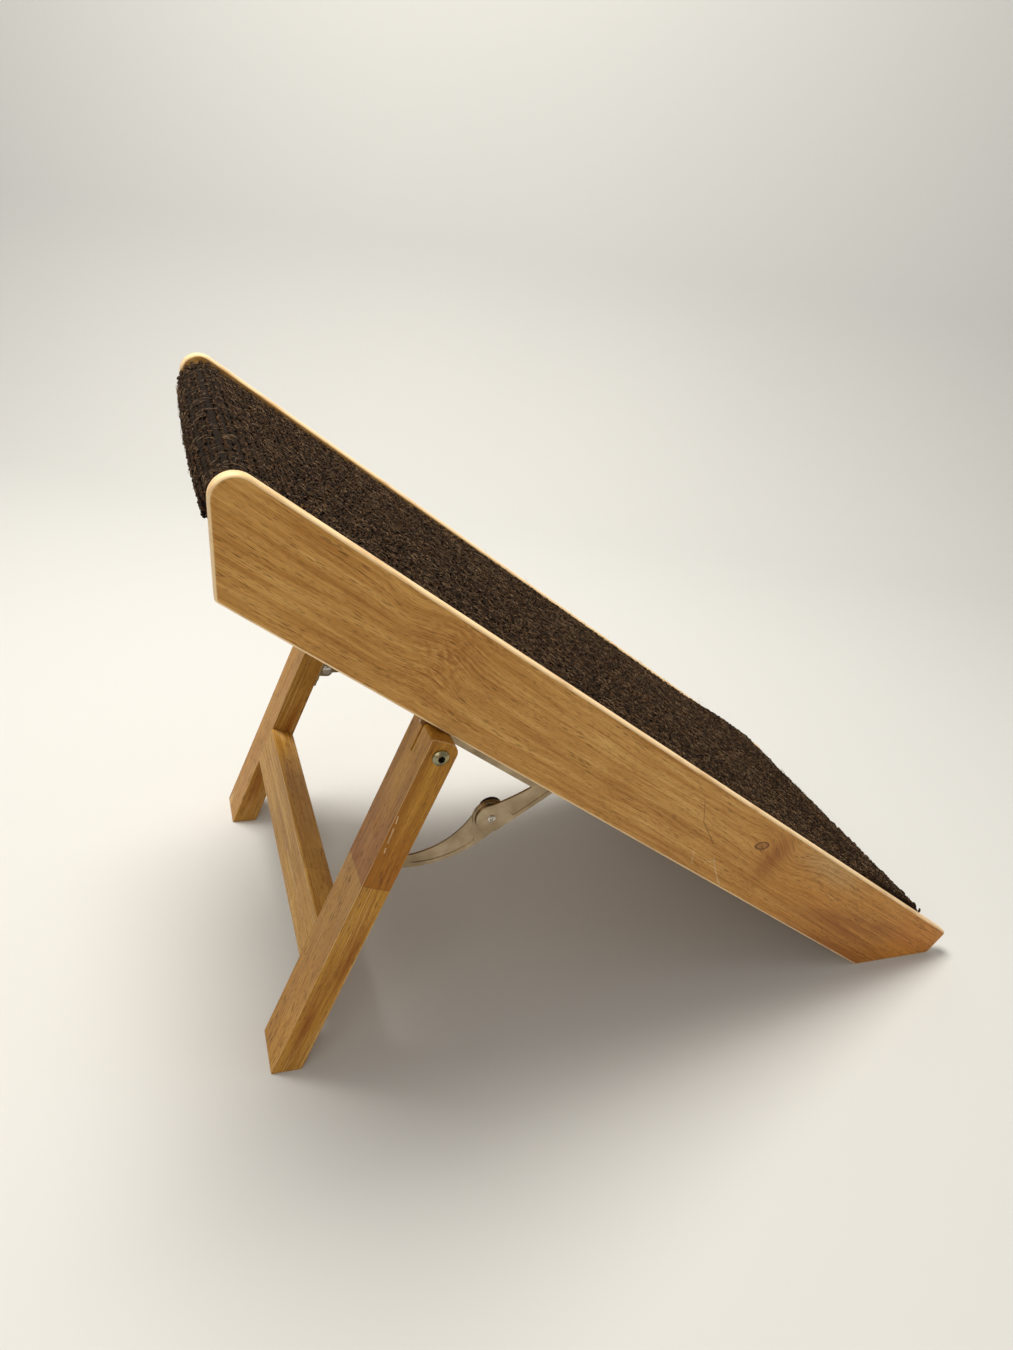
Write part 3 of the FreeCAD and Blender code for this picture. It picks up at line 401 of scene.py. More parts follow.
def left_board_features(tree, u, v, bent, colour):
    """Heartwood toward the toe, the freckled curl near the head, the knot and the scratches."""
    colour = heartwood(tree, u, v, bent, colour)
    curl = near(tree, u, v, CURL_AT, (26, 34))
    freckle = tree.noise(stretched(tree, flat_place(tree, u, v), (5, 2.2, 1), 6), 3.0)
    freckled = tree.times(curl, tree.smooth(freckle, 0.40, 0.62))
    colour = tree.mix(colour, HEARTWOOD, tree.times(freckled, 0.62))
    colour = knot(tree, u, v, colour)
    colour = scratches(tree, u, v, colour, DARK_SCRATCHES, PORE, 0.75, 0.55)
    return scratches(tree, u, v, colour, PALE_SCRATCHES, PALE_SCRATCH, 0.8, 0.75)


def pale_streaks(tree, u, bent, colour, seed):
    """Thin pale lines along the grain."""
    lines = tree.noise(stretched(tree, flat_place(tree, u, bent), (140, 1.5, 1), seed), 2.0)
    return tree.mix(colour, PALE_STREAK, tree.times(tree.smooth(lines, 0.58, 0.68), 0.55))


def butt_joint(tree, u, at):
    """How far a place is past a butt joint, from 0 to 1, and how much it is on the joint's dark line."""
    past = tree.smooth(u, at - 0.4, at + 0.4)
    seam = tree.smooth(tree.math("ABSOLUTE", tree.math("SUBTRACT", u, at)), 0.7, 0.1)
    return past, seam


# Places on the legs, in millimetres up the leg from its heel and across it toward the ramp's toe
LEG_JOINT = {"left": 196.0, "right": 252.0}
SCUFFS = (((238, 3.6), (251, 2.6)), ((256, 2.4), (262, 1.6)), ((229, 4.4), (233, 3.8)))
DARK_PATCHES = (((128.0, 17.0), (34, 5.5)), ((62.0, 9.0), (36, 6)))


def leg_features(side):
    """A butt joint in the leg, with redder wood above it, and pale lines and dark patches lower down."""
    joint = LEG_JOINT[side]

    def draw(tree, u, v, bent, colour):
        upper, seam = butt_joint(tree, u, joint)
        lower = tree.smooth(u, joint + 0.4, joint - 0.4)
        fading = tree.smooth(u, joint + 105.0, joint + 5.0)
        ragged = tree.noise(stretched(tree, flat_place(tree, u, bent), (60, 5, 1), 8), 4.0)
        depth = tree.plus(tree.times(tree.smooth(ragged, 0.34, 0.6), 0.45), 0.4)
        colour = tree.mix(colour, RED_LEG, tree.times(tree.times(upper, fading), depth))
        colour = tree.mix(colour, YELLOW_LEG, tree.times(lower, 0.45))
        colour = tree.mix(colour, pale_streaks(tree, u, bent, colour, 14), lower)
        colour = tree.mix(colour, PORE, tree.times(seam, 0.5))
        patch = tree.math("MAXIMUM", *[near(tree, u, v, *place) for place in DARK_PATCHES])
        ragged_patch = tree.times(patch, tree.smooth(ragged, 0.36, 0.52))
        colour = tree.mix(colour, HEARTWOOD, tree.times(ragged_patch, 0.85))
        if side == "left":
            colour = scratches(tree, u, v, colour, SCUFFS, SCUFF, 0.8, 0.7)
        return colour
    return draw


CROSSBAR_JOINT = -86.0      # millimetres from the middle, toward the left leg


def crossbar_features(tree, u, v, bent, colour):
    """A butt joint in the crossbar, with slightly darker wood past it, and pale lines."""
    past, seam = butt_joint(tree, u, CROSSBAR_JOINT)
    colour = shaded(tree, colour, (0.90, 0.88, 0.80), past)
    colour = pale_streaks(tree, u, bent, colour, 27)
    return tree.mix(colour, PORE, tree.times(seam, 0.4))


VENEER = ((0.34, (0.43, 0.26, 0.12)), (0.52, (0.53, 0.35, 0.18)), (0.68, (0.60, 0.42, 0.24)))
DARK_PLY = (0.36, 0.20, 0.09)
LIGHT_PLY = (0.57, 0.40, 0.23)
PLY_THICKNESS = 1.8     # millimetres


def plywood():
    """Deck panel: rotary-cut face with broad figure, and dark and light plies at its edges."""
    tree = Tree("deck_plywood")
    low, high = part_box("deck_panel")
    corner = Vector((low.x, 0, high.z))
    u, v, w = timber_space(tree, corner, DOWN_RAMP, ACROSS)
    place = flat_place(tree, u, v)
    drift = tree.times(tree.noise(stretched(tree, place, (190, 95, 1), 2), 2.0), 34.0)
    drifted = flat_place(tree, u, tree.plus(v, drift))
    face = tree.ramp(tree.noise(stretched(tree, drifted, (300, 11, 1), 5), 4.0, 0.6), VENEER)
    edge = tree.mix(DARK_PLY, LIGHT_PLY, tree.smooth(tree.math("PINGPONG", w, PLY_THICKNESS), 0.55, 1.1))
    normal = tree.add("TexCoord", output="Normal")
    square = tree.math("ABSOLUTE", tree.vector("DOT_PRODUCT", normal, tuple(OFF_RAMP)))
    colour = tree.mix(edge, face, tree.smooth(square, 0.4, 0.8))
    fibre = tree.noise(stretched(tree, place, (26, 0.8, 1), 7), 3.0)
    darker = tree.mix(colour, (0.74, 0.66, 0.58), 1.0, "MULTIPLY")
    colour = tree.mix(darker, colour, tree.smooth(fibre, 0.3, 0.7))
    return tree.finish(Base_Color=colour, Roughness=0.72, Normal=tree.bump(fibre, 0.12 * MM))


# Metal and plastic

DULL_SPOT = (0.20, 0.15, 0.10)
# Painted shade: near-black colour for the inside of a bolt's socket, where shade falls in the recess.
SOCKET_SHADE = (0.012, 0.009, 0.006)
SOCKET_RADII = (2.95, 2.35)     # millimetres: no painted shade outside the first, all painted shade inside the second


def plated(name, stops, roughness, spread, seed, socket=None):
    """Plated steel: slow tints, fine grinding lines, dull spots, and painted shade darkening a socket along Y
    at a point.
    """
    tree = Tree(name)
    place = millimetre_place(tree)
    tint = tree.noise(stretched(tree, place, (18, 18, 18), seed), 2.0)
    colour = tree.ramp(tint, stops)
    spot = tree.smooth(tree.noise(stretched(tree, place, (0.9, 0.9, 0.9), seed + 4), 2.0), 0.70, 0.78)
    colour = tree.mix(colour, DULL_SPOT, tree.times(spot, 0.35))
    if socket:
        off_axis = tree.vector("SUBTRACT", place, tuple(socket / MM))
        in_plane = tree.vector("MULTIPLY", off_axis, (1, 0, 1))
        off_centre = tree.add("VectorMath", {0: in_plane}, "Value", operation="LENGTH")
        # Painted shade: the bolt's socket is darkened to near black, as shade in a recess.
        colour = tree.mix(colour, SOCKET_SHADE, tree.smooth(off_centre, *SOCKET_RADII))
    brushed = tree.noise(stretched(tree, place, (12, 3, 0.22), seed + 7), 3.0)
    rough = tree.plus(tree.times(brushed, spread), roughness)
    rough = tree.plus(rough, tree.times(spot, 0.18))
    normal = tree.bump(brushed, 0.012 * MM)
    return tree.finish(Base_Color=colour, Metallic=1.0, Roughness=rough, Normal=normal)


def black_plastic():
    """Stippled black plastic with a few greyer scuffs."""
    tree = Tree("black_latch_plastic")
    place = millimetre_place(tree)
    stipple = tree.noise(stretched(tree, place, (0.35, 0.35, 0.35)), 2.0)
    scuff = tree.smooth(tree.noise(stretched(tree, place, (6, 2, 0.6), 5), 4.0), 0.56, 0.72)
    colour = tree.mix((0.006, 0.006, 0.0075), (0.035, 0.035, 0.037), tree.times(scuff, 0.5))
    rough = tree.plus(tree.times(scuff, 0.25), 0.30)
    return tree.finish(
        Base_Color=colour, Roughness=rough, Specular_IOR_Level=0.3, Normal=tree.bump(stipple, 0.04 * MM))


# Nickel darkened and tinted brown: partly the plating's colour, partly a painted reflection of brown
# surroundings.
NICKEL_AND_PAINTED_REFLECTION = ((0.34, (0.25, 0.185, 0.11)), (0.52, (0.33, 0.25, 0.155)), (0.70, (0.41, 0.32, 0.21)))
BRIGHT = ((0.30, (0.48, 0.44, 0.38)), (0.70, (0.72, 0.68, 0.60)))
YELLOW_ZINC = (
    (0.36, (0.30, 0.20, 0.07)), (0.46, (0.48, 0.34, 0.12)),
    (0.55, (0.30, 0.30, 0.19)), (0.66, (0.40, 0.22, 0.12)),
)


def paint(node, material):
    """One material over a CAD node."""
    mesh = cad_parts[node].data
    mesh.materials.clear()
    mesh.materials.append(material)


def paint_wood():
    foot_heel = Vector((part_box("left_side_board")[1].x - HEEL_TO_TOE, 0, 0))
    up_ramp = -DOWN_RAMP
    paint("left_side_board", wood(
        "left_board_wood", foot_heel, up_ramp, OFF_RAMP, HONEY, 1.0,
        warp=left_board_warp, features=left_board_features, edges=0.8, arris=0.9))
    paint("right_side_board", wood(
        "right_board_wood", foot_heel, up_ramp, OFF_RAMP, HONEY, 31.0, edges=0.8, arris=0.9))
    # The right leg takes a darker copy of the orange, as painted shade.
    for side, tones, seed in (("left", ORANGE, 12.0), ("right", ORANGE_IN_PAINTED_SHADE, 47.0)):
        heel = Vector((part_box(side + "_leg")[0].x, 0, 0))
        paint(side + "_leg", wood(
            side + "_leg_wood", heel, UP_LEG, OUT_OF_LEG, tones, seed,
            lacquer=0.04, features=leg_features(side), arris=0.3))
    bar_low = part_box("crossbar")[0]
    middle = Vector((bar_low.x, 0, bar_low.z))
    paint("crossbar", wood(
        "crossbar_wood", middle, ACROSS, UP_LEG, AMBER, 22.0,
        pores=0.6, lacquer=0.04, features=crossbar_features))
    for index, node in enumerate(("toe_rail", "lower_rail", "upper_rail", "head_rail")):
        across = UP if node == "head_rail" else DOWN_RAMP
        material = wood(
            node + "_wood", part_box(node)[0], ACROSS, across, RAW, 60.0 + 9 * index, lacquer=0.0)
        paint(node, material)
    dowels = wood("dowel_wood", Vector((0, 0, 0)), ACROSS, UP, RAW, 99.0, lacquer=0.0)
    paint("rail_dowels", dowels)
    paint("crossbar_dowels", dowels)
    paint("deck_panel", plywood())


def paint_hardware():
    # The stays' nickel carries a painted brown reflection in its colour.
    reflecting_nickel = plated("nickel_steel", NICKEL_AND_PAINTED_REFLECTION, 0.22, 0.14, 3.0)
    bright = plated("bright_steel", BRIGHT, 0.16, 0.14, 8.0)
    zinc = plated("yellow_zinc", YELLOW_ZINC, 0.20, 0.16, 5.0)
    plastic = black_plastic()
    finishes = {
        "stay_plate": reflecting_nickel, "upper_arm": reflecting_nickel, "lower_arm": reflecting_nickel, "leg_bracket": reflecting_nickel,
        "anchor_rivet": bright, "leg_end_rivet": bright, "knee_rivet": bright, "knee_collar": bright,
        "latch_spring": bright, "pivot_washer": zinc, "pivot_nut": zinc,
        "plate_screws": zinc, "bracket_screws": zinc, "latch": plastic,
    }
    for side in ("left", "right"):
        for piece, material in finishes.items():
            paint(side + "_" + piece, material)
        # Each pivot bolt's material darkens its socket as painted shade.
        bolt_low, bolt_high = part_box(side + "_pivot_bolt")
        axis = (bolt_low + bolt_high) / 2
        paint(side + "_pivot_bolt", plated(side + "_bolt_zinc", YELLOW_ZINC, 0.20, 0.16, 5.0, axis))
    paint("deck_screws", zinc)


# Carpet

def rounded_line(corners, step):
    """Points along straight runs in the XZ plane joined by arcs; corners are (point, radius)."""
    points = []
    for index, (corner, radius) in enumerate(corners):
        if radius == 0:
            points.append([corner])
            continue
        back = (corners[index - 1][0] - corner).normalized()
        ahead = (corners[index + 1][0] - corner).normalized()
        half = back.angle(ahead) / 2
        reach = radius / math.tan(half)
        centre = corner + (back + ahead).normalized() * (radius / math.sin(half))
        start = corner + back * reach - centre
        sweep = math.pi - 2 * half
        side = 1 if back.cross(ahead).y > 0 else -1
        count = max(3, int(sweep * radius / step) + 1)
        turn = [Matrix.Rotation(-side * sweep * k / count, 3, "Y") for k in range(count + 1)]
        points.append([centre + rotation @ start for rotation in turn])
    line = []
    for group, following in zip(points, points[1:] + [None]):
        line.extend(group)
        if following:
            run = following[0] - group[-1]
            count = max(1, int(run.length / step))
            line.extend(group[-1] + run * (k / count) for k in range(1, count))
    return np.array([tuple(point) for point in line])


class CarpetLine:
    """The carpet's line from the hem under the head, over the head and down the ramp, to the toe's hem."""

    def __init__(self):
        deck_low, deck_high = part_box("deck_panel")
        carpet_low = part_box("carpet")[0]
        toe = Vector((deck_high.x, 0, deck_low.z + DECK_THICKNESS * OFF_RAMP.z))
        toe_low = toe - OFF_RAMP * ((toe.z - PILE_HEIGHT * OFF_RAMP.x - carpet_low.z) / OFF_RAMP.z)
        outward = Vector((-math.cos(HEAD_LEAN), 0, -math.sin(HEAD_LEAN)))
        up_face = Vector((-math.sin(HEAD_LEAN), 0, math.cos(HEAD_LEAN)))
        under_toe = toe - OFF_RAMP * DECK_NOSE_RADIUS
        run = (under_toe.x - carpet_low.x - NOSING_RADIUS) / DOWN_RAMP.x
        on_face = under_toe - DOWN_RAMP * run + outward * DECK_NOSE_RADIUS
        head = on_face + up_face * ((toe - on_face).dot(OFF_RAMP) / up_face.dot(OFF_RAMP))
        hem = on_face - up_face * ((on_face.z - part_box("head_rail")[0].z) / up_face.z)
        corners = [
            (hem, 0),
            (head, DECK_NOSE_RADIUS),
            (toe, 0.6 * MM),
            (toe_low, 0),
        ]
        self.base = rounded_line(corners, 0.8 * MM)
        steps = np.linalg.norm(np.diff(self.base, axis=0), axis=1)
        self.base = self.base[np.concatenate([[True], steps > 1e-7])]
        steps = np.linalg.norm(np.diff(self.base, axis=0), axis=1)
        self.distance = np.concatenate([[0], np.cumsum(steps)])
        tangents = np.gradient(self.base, self.distance, axis=0)
        normals = np.stack([-tangents[:, 2], np.zeros(len(tangents)), tangents[:, 0]], axis=1)
        kernel = np.ones(5) / 5
        for axis in (0, 2):
            padded = np.pad(normals[:, axis], 2, mode="edge")
            normals[:, axis] = np.convolve(padded, kernel, mode="valid")
        self.normals = normals / np.linalg.norm(normals, axis=1)[:, None]
        self.length = float(self.distance[-1])
        self.nosing = float((head - hem).length)

    def at(self, along, across, height):
        """Points at a distance along the line, across the ramp, and off the base."""
        point = np.stack([np.interp(along, self.distance, self.base[:, k]) for k in range(3)], axis=-1)
        normal = self.normal(along)
        point = point + normal * height[..., None]
        point[..., 1] = across
        return point

    def normal(self, along):
        normal = np.stack([np.interp(along, self.distance, self.normals[:, k]) for k in range(3)], axis=-1)
        return normal / np.linalg.norm(normal, axis=-1, keepdims=True)


def mesh_object(name, points, quads, material, body, smooth=True):
    mesh = bpy.data.meshes.new(name)
    mesh.vertices.add(len(points))
    mesh.vertices.foreach_set("co", np.asarray(points, np.float32).ravel())
    mesh.loops.add(quads.size)
    mesh.loops.foreach_set("vertex_index", np.asarray(quads, np.int32).ravel())
    mesh.polygons.add(len(quads))
    mesh.polygons.foreach_set("loop_start", np.arange(0, quads.size, 4, dtype=np.int32))
    mesh.polygons.foreach_set("use_smooth", np.full(len(quads), smooth))
    mesh.update(calc_edges=True)
    mesh.validate()
    mesh.materials.append(material)
    obj = bpy.data.objects.new(name, mesh)
    bpy.context.scene.collection.objects.link(obj)
    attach(obj, body)
    return obj


def slab(name, line, lengths, widths, top, bottom, material):
    """Closed sheet between two height fields on a grid along and across the carpet."""
    rows, columns = len(lengths), len(widths)
    along, across = np.meshgrid(lengths, widths, indexing="ij")
    upper = line.at(along, across, top).reshape(-1, 3)
    lower = line.at(along, across, bottom).reshape(-1, 3)
    index = np.arange(rows * columns).reshape(rows, columns)
    a, b, c, d = index[:-1, :-1], index[1:, :-1], index[1:, 1:], index[:-1, 1:]
    faces = [np.stack([a, b, c, d], -1).reshape(-1, 4)]
    under = rows * columns
    faces.append(np.stack([a, d, c, b], -1).reshape(-1, 4) + under)
    rim = np.concatenate([index[:, 0], index[-1, 1:], index[-2::-1, -1], index[0, -2:0:-1]])
    following = np.roll(rim, -1)
    faces.append(np.stack([following, rim, rim + under, following + under], -1))
    points = np.concatenate([upper, lower])
    return mesh_object(name, points, np.concatenate(faces), material, "ramp")


def tubes(name, centres, normals, radii, sides, material):
    """One mesh of many closed strands: centres and normals are (strands, rings, 3), sides is 4 or 6."""
    strands, rings = centres.shape[:2]
    tangents = np.gradient(centres, axis=1)
    tangents /= np.linalg.norm(tangents, axis=-1, keepdims=True)
    lateral = np.cross(tangents, normals)
    lateral /= np.linalg.norm(lateral, axis=-1, keepdims=True)
    upright = np.cross(lateral, tangents)
    angles = np.arange(sides) * 2 * math.pi / sides
    ring = lateral[:, :, None] * np.cos(angles)[:, None] + upright[:, :, None] * np.sin(angles)[:, None]
    points = centres[:, :, None] + ring * radii[:, :, None, None]
    index = np.arange(strands * rings * sides).reshape(strands, rings, sides)
    here, ahead = index[:, :-1], index[:, 1:]
    walls = np.stack([here, np.roll(here, -1, 2), np.roll(ahead, -1, 2), ahead], -1).reshape(-1, 4)
    faces = [walls]
    for ends, order in ((index[:, 0], (3, 2, 1, 0)), (index[:, -1], (0, 1, 2, 3))):
        faces.append(ends[:, list(order)])
        if sides == 6:
            second = (0, 5, 4, 3) if order[0] == 3 else (0, 3, 4, 5)
            faces.append(ends[:, list(second)])
    return mesh_object(name, points.reshape(-1, 3), np.concatenate(faces), material, "ramp")


def wave_noise(along, across, waves, lengths):
    """Smooth random height from a few waves, between about -1 and 1."""
    total = np.zeros(np.broadcast(along, across).shape)
    for _ in range(waves):
        angle = rng.uniform(0, math.pi)
        size = rng.uniform(*lengths)
        phase = rng.uniform(0, 2 * math.pi)
        total += np.sin((along * math.cos(angle) + across * math.sin(angle)) * 2 * math.pi / size + phase)
    return total / math.sqrt(waves)


def yarn_material(name, dark, mid, light, fleck):
    """Wool: each strand its own tone, with paler hairs spun through it."""
    tree = Tree(name)
    place = millimetre_place(tree)
    strand = tree.noise(stretched(tree, place, (3.2, 3.2, 3.2)), 2.0, 0.7)
    colour = tree.ramp(strand, ((0.40, dark), (0.54, mid), (0.68, light)))
    hair = tree.noise(stretched(tree, place, (1.3, 0.5, 0.6), 6), 3.0, 0.7)
    colour = tree.mix(colour, fleck, tree.times(tree.smooth(hair, 0.60, 0.70), 0.6))
    patch = tree.noise(stretched(tree, place, (46, 46, 46), 3), 2.0)
    darker = tree.mix(colour, (0.74, 0.70, 0.66), 1.0, "MULTIPLY")
    colour = tree.mix(darker, colour, tree.smooth(patch, 0.38, 0.60))
    fluff = tree.noise(stretched(tree, place, (0.4, 0.4, 0.4), 9), 2.0)
    return tree.finish(
        Base_Color=colour, Roughness=0.94, Specular_IOR_Level=0.15, Normal=tree.bump(fluff, 0.25 * MM),
        Sheen_Weight=0.05, Sheen_Roughness=0.5, Sheen_Tint=(0.75, 0.52, 0.32))


UMBER = ((0.0045, 0.0019, 0.0007), (0.021, 0.0090, 0.0029), (0.095, 0.047, 0.017))
FLECK = (0.28, 0.18, 0.095)


def backing_material():
    """Woven jute backing: crossing yarns under a thin latex."""
    tree = Tree("carpet_backing")
    place = millimetre_place(tree)
    weft = tree.vector("DOT_PRODUCT", place, (DOWN_RAMP.x, 0, DOWN_RAMP.z))
    warp = tree.vector("DOT_PRODUCT", place, (0, 1, 0))
    over = tree.math("SINE", tree.times(weft, 2.6))
    under = tree.math("SINE", tree.times(warp, 2.6))
    weave = tree.times(over, under)
    colour = tree.mix((0.20, 0.145, 0.085), (0.36, 0.28, 0.18), tree.smooth(weave, -0.6, 0.6))
    paler = tree.noise(stretched(tree, place, (9, 9, 9), 2), 4.0)
    colour = tree.mix(colour, (0.42, 0.37, 0.30), tree.times(tree.smooth(paler, 0.52, 0.70), 0.5))
    return tree.finish(Base_Color=colour, Roughness=0.9, Normal=tree.bump(weave, 0.3 * MM))


def eased(value, start, end):
    """0 at the start and 1 at the end, with no corner at either."""
    share = np.clip((value - start) / (end - start), 0, 1)
    return share ** 2 * (3 - 2 * share)


def near_head(line, along):
    """1 on the nosing, falling to 0 down the ramp."""
    return np.clip(1 - (along - line.nosing) / FURROW_REACH, 0, 1)


def furrows(line, along):
    """Depth of the gaps that open between pairs of rows, where the carpet bends over the head."""
    off_furrow = np.abs((along / FURROW_PITCH + 0.5) % 1.0 - 0.5) * FURROW_PITCH
    return FURROW_DEPTH * near_head(line, along) * np.exp(-(off_furrow / FURROW_WIDTH) ** 2)


def top_height(line, along, across):
    """Height of the pile over the deck: it bellies at the head's hem and stands proud toward the toe."""
    rise = MIDDLE_RISE * eased(along, *MIDDLE_RISE_SPAN)
    start, end = [line.length - distance for distance in TOE_RISE_SPAN]
    rise = rise + (TOE_RISE - MIDDLE_RISE) * eased(along, start, end)
    toward_hem = np.clip(1 - along / (line.nosing + 0.02), 0, 1)
    belly = HEAD_BELLY * np.sqrt(toward_hem) * (1 - (across / across_limit) ** 2)
    off_edge = across_limit - np.abs(across)
    rolled = np.clip(off_edge / (3.5 * MM), 0, 1)
    return PILE_HEIGHT + rise + belly - 1.0 * MM * (1 - rolled) ** 2


def make_carpet():
    line = CarpetLine()
    width = 2 * across_limit
    yarn = yarn_material("carpet_yarn", *UMBER, FLECK)

    step = 4.0 * MM
    lengths = np.linspace(0, line.length, int(line.length / step))
    widths = np.linspace(-across_limit, across_limit, int(width / (6 * MM)))
    flat = np.zeros((len(lengths), len(widths)))
    backing = slab(
        "carpet_backing", line, lengths, widths,
        flat + BACKING_TOP, flat + BACKING_GAP, backing_material())
    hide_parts("carpet")

    lengths = np.linspace(0, line.length, int(line.length / GROUND_STEP))
    widths = np.linspace(-across_limit, across_limit, int(width / GROUND_STEP))
    along, across = np.meshgrid(lengths, widths, indexing="ij")
    rough = wave_noise(along, across, 14, (6 * MM, 16 * MM)) * 0.28 * MM
    ground = top_height(line, along, across) - GROUND_DEPTH + rough - furrows(line, along)
    ground = np.maximum(ground, BACKING_TOP + 0.4 * MM)
    # The wool between the loops is the same yarn at 0.35 of its brightness: painted shade in the gaps of the
    # pile.
    pile = slab(
        "carpet_pile_ground", line, lengths, widths, ground,
        np.full_like(ground, BACKING_TOP + 0.05 * MM),
        yarn_material("carpet_ground_yarn_painted_shade", *[tuple(0.35 * c for c in tone) for tone in UMBER], UMBER[1]))

    loops = yarn_loops(line, yarn)
    wool = hair_material()
    hairs = surface_hairs(line, wool)
    strays = stray_hairs(line, wool)


def yarn_loops(line, material):
    """Wriggly wool loops in rows across the ramp. The rows part over the nosing, where the carpet bends."""
    half = across_limit
    rows = np.arange(0.5, line.length / LOOP_ROW) * LOOP_ROW
    places = np.arange(-half + 2.6 * MM, half - 2.2 * MM, LOOP_PITCH)
    along, across = [grid.ravel() for grid in np.meshgrid(rows, places, indexing="ij")]
    count = len(along)
    paired = near_head(line, along)
    jitter = 1 - 0.8 * paired
    inward = np.where(np.floor(along / LOOP_ROW) % 2 == 0, 0.5, -0.5) * MM
    along = along + rng.normal(0, 1.35 * MM, count) * jitter + inward * paired
    across = across + rng.normal(0, 1.0 * MM, count)
    along = np.clip(along, 1.6 * MM, line.length - 2.6 * MM)

    rings = 7
    share = np.linspace(0, 1, rings)[None, :]
    length = rng.uniform(6.0, 9.0, count)[:, None] * MM
    heading = rng.normal(0, 0.62, count)[:, None] * jitter[:, None]
    wriggle = (rng.uniform(0.5, 1.5, count) * (1 - 0.45 * paired))[:, None] * MM
    phase = rng.uniform(0, 2 * math.pi, count)[:, None]
    arch = rng.uniform(2.2, 3.5, count)[:, None] * MM
    forward = (share - 0.5) * length
    sideways = wriggle * np.sin(2 * math.pi * share * 1.1 + phase)
    run_across = forward * np.cos(heading) - sideways * np.sin(heading)
    run_along = forward * np.sin(heading) + sideways * np.cos(heading)
    u = np.clip(along[:, None] + run_along, 0.9 * MM, line.length - 1.6 * MM)
    y = np.clip(across[:, None] + run_across, -half + 1.1 * MM, half - 1.1 * MM)
    radius = rng.uniform(0.82, 1.12, count)[:, None] * MM * (0.72 + 0.28 * np.sin(math.pi * share))
    crest = top_height(line, u, y) - radius + rng.normal(0, 0.28 * MM, count)[:, None]
    height = crest - arch * (1 - np.sin(math.pi * np.clip(share, 0.02, 0.98)) ** 0.7)
    height = np.maximum(height, BACKING_TOP + radius)
    centres = line.at(u, y, height)
    return tubes("carpet_loops", centres, line.normal(u), radius, 6, material)


def hair_material():
    """Fine wool hairs, from brown to straw."""
    tree = Tree("carpet_hair")
    place = millimetre_place(tree)
    tone = tree.noise(stretched(tree, place, (6, 6, 6)), 1.0)
    colour = tree.ramp(tone, ((0.36, (0.05, 0.030, 0.017)), (0.62, (0.34, 0.22, 0.12))))
    return tree.finish(Base_Color=colour, Roughness=0.7, Specular_IOR_Level=0.3)


def wandering(line, along, across, length, heading, bend, rings, limit):
    """Curls that start at a place on the carpet: distance along and across it for each ring."""
    share = np.linspace(0, 1, rings)[None, :]
    direction = heading[:, None] + bend[:, None] * share
    step = (length / (rings - 1))[:, None]
    u = along[:, None] + np.cumsum(np.sin(direction) * step, axis=1)
    y = across[:, None] + np.cumsum(np.cos(direction) * step, axis=1)
    return np.clip(u, 1 * MM, line.length - 1 * MM), np.clip(y, -limit, limit), share


def surface_hairs(line, material):
    """Fine pale wool hairs that lie in curls on the pile."""
    count, rings = 5200, 7
    half = across_limit
    along = rng.uniform(4 * MM, line.length - 12 * MM, count)
    across = rng.uniform(-half + 6 * MM, half - 6 * MM, count)
    length = rng.uniform(3.5, 9, count) * MM
    heading = rng.uniform(0, 2 * math.pi, count)
    bend = rng.normal(0, 2.0, count)
    u, y, share = wandering(line, along, across, length, heading, bend, rings, half - 0.8 * MM)
    lift = rng.uniform(0.4, 1.5, count)[:, None] * MM
    height = top_height(line, u, y) - 0.4 * MM + lift * np.sin(math.pi * (0.12 + 0.76 * share))
    radii = np.full((count, rings), 0.11 * MM)
    return tubes("carpet_hairs", line.at(u, y, height), line.normal(u), radii, 4, material)


def stray_hairs(line, material):
    """Long thin hairs that leave the pile at its edges and over the nosing."""
    count, rings = 34, 22
    half = across_limit
    side = rng.choice([-1, 1, 1], count)
    along = rng.uniform(10 * MM, line.length - 60 * MM, count)
    along[:6] = rng.uniform(4 * MM, 45 * MM, 6)
    across = side * (half - rng.uniform(1, 8, count) * MM)
    length = rng.uniform(9, 22, count) * MM
    heading = np.where(side > 0, 0.0, math.pi) + rng.normal(0, 0.9, count)
    bend = rng.normal(0, 2.2, count)
    u, y, share = wandering(line, along, across, length, heading, bend, rings, half + 9 * MM)
    lift = rng.uniform(2.0, 7.0, count)[:, None] * MM
    ripple = 0.5 * MM * np.sin(share * rng.uniform(6, 14, count)[:, None]) * share
    height = top_height(line, u, np.clip(y, -half, half)) - 0.6 * MM + lift * share ** 1.3 + ripple
    radii = np.full((count, rings), 0.07 * MM)
    radii[:, -4:] = 0.045 * MM
    return tubes("stray_hairs", line.at(u, y, height), line.normal(u), radii, 4, material)


# Stage, light and camera

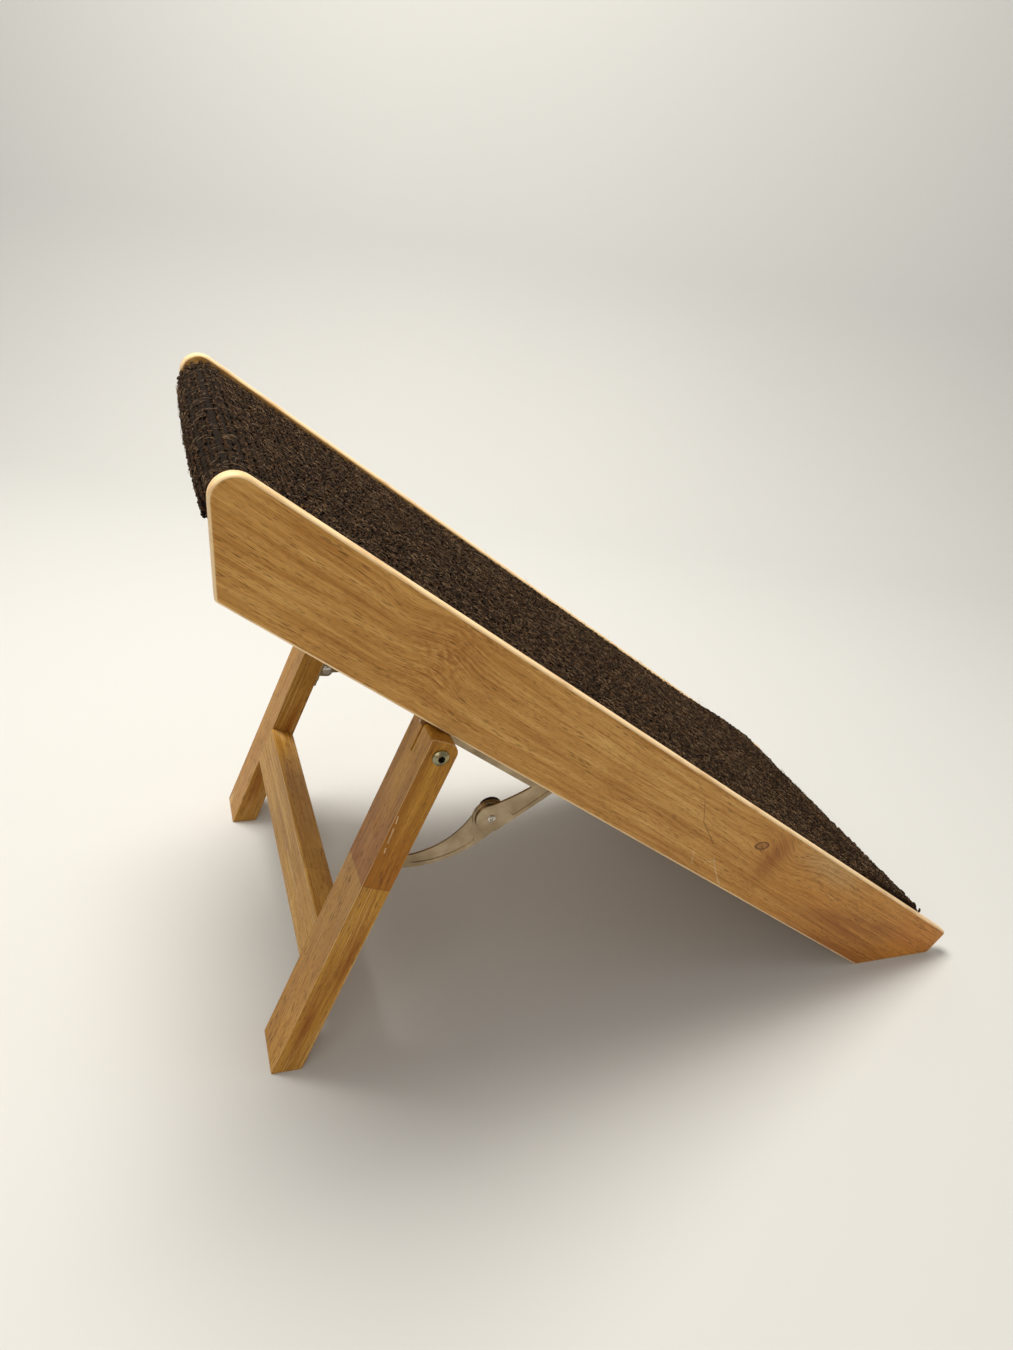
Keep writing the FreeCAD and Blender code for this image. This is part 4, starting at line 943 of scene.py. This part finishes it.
def sweep_backdrop():
    """Pale floor that curves up into a wall behind the ramp."""
    front, back, radius, top, half = -2.4, 1.15, 0.5, 3.0, 4.0
    profile = [(front, 0.0), (back, 0.0)]
    for k in range(1, 13):
        angle = math.radians(90.0 * k / 12)
        profile.append((back + radius * math.sin(angle), radius * (1 - math.cos(angle))))
    profile.append((back + radius, top))
    turn = Matrix.Rotation(-CAMERA_YAW, 3, "Z")
    points = []
    for side in (-half, half):
        points.extend(tuple(turn @ Vector((side, y, z))) for y, z in profile)
    count = len(profile)
    quads = [(k, k + 1, k + 1 + count, k + count) for k in range(count - 1)]
    mesh = bpy.data.meshes.new("backdrop")
    mesh.from_pydata(points, [], [tuple(reversed(quad)) for quad in quads])
    for polygon in mesh.polygons:
        polygon.use_smooth = True
    tree = Tree("pale_backdrop")
    place = tree.add("TexCoord", output="Object")
    haze = tree.noise(stretched(tree, place, (1.2, 1.2, 1.2)), 2.0)
    colour = tree.mix((0.62, 0.64, 0.655), (0.66, 0.68, 0.69), haze)
    mesh.materials.append(tree.finish(Base_Color=colour, Roughness=0.75))
    backdrop = bpy.data.objects.new("backdrop", mesh)
    bpy.context.scene.collection.objects.link(backdrop)


def area_light(name, place, target, size, power, colour):
    light = bpy.data.lights.new(name, "AREA")
    light.shape = "RECTANGLE"
    light.size, light.size_y = size
    light.energy = power
    light.color = colour
    lamp = bpy.data.objects.new(name, light)
    bpy.context.scene.collection.objects.link(lamp)
    lamp.location = place
    lamp.rotation_mode = "QUATERNION"
    lamp.rotation_quaternion = (Vector(target) - Vector(place)).to_track_quat("-Z", "Y")


def lights():
    area_light("overhead", (-0.45, 0.55, 2.35), (0.0, 0.0, 0.2), (1.2, 1.0), 66.0, (1.0, 0.93, 0.82))
    area_light("front", (-1.5, -2.2, 1.4), (0.0, 0.0, 0.2), (1.8, 1.4), 15.0, (1.0, 0.93, 0.84))
    area_light("right", (2.2, -0.9, 1.5), (0.1, 0.0, 0.2), (1.4, 1.4), 3.5, (1.0, 0.92, 0.82))
    world = bpy.data.worlds.new("room")
    world.use_nodes = True
    background = world.node_tree.nodes["Background"]
    background.inputs["Color"].default_value = (1.0, 0.94, 0.86, 1.0)
    background.inputs["Strength"].default_value = 0.30
    bpy.context.scene.world = world


def camera():
    forward = Vector((
        math.sin(CAMERA_YAW) * math.cos(CAMERA_PITCH),
        math.cos(CAMERA_YAW) * math.cos(CAMERA_PITCH),
        -math.sin(CAMERA_PITCH),
    ))
    level = Vector((math.cos(CAMERA_YAW), -math.sin(CAMERA_YAW), 0))
    rise = level.cross(forward)
    right = level * math.cos(CAMERA_ROLL) + rise * math.sin(CAMERA_ROLL)
    above = rise * math.cos(CAMERA_ROLL) - level * math.sin(CAMERA_ROLL)
    data = bpy.data.cameras.new("camera")
    data.lens = LENS
    data.sensor_width = SENSOR
    view = bpy.data.objects.new("camera", data)
    view.matrix_world = Matrix.Translation(CAMERA_AT) @ Matrix((right, above, -forward)).transposed().to_4x4()
    bpy.context.scene.collection.objects.link(view)
    bpy.context.scene.camera = view


carpet_low, carpet_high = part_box("carpet")
across_limit = (carpet_high.y - carpet_low.y) / 2

camera()
sweep_backdrop()
lights()
paint_wood()
paint_hardware()
make_carpet()
bpy.context.scene.view_settings.view_transform = "Standard"
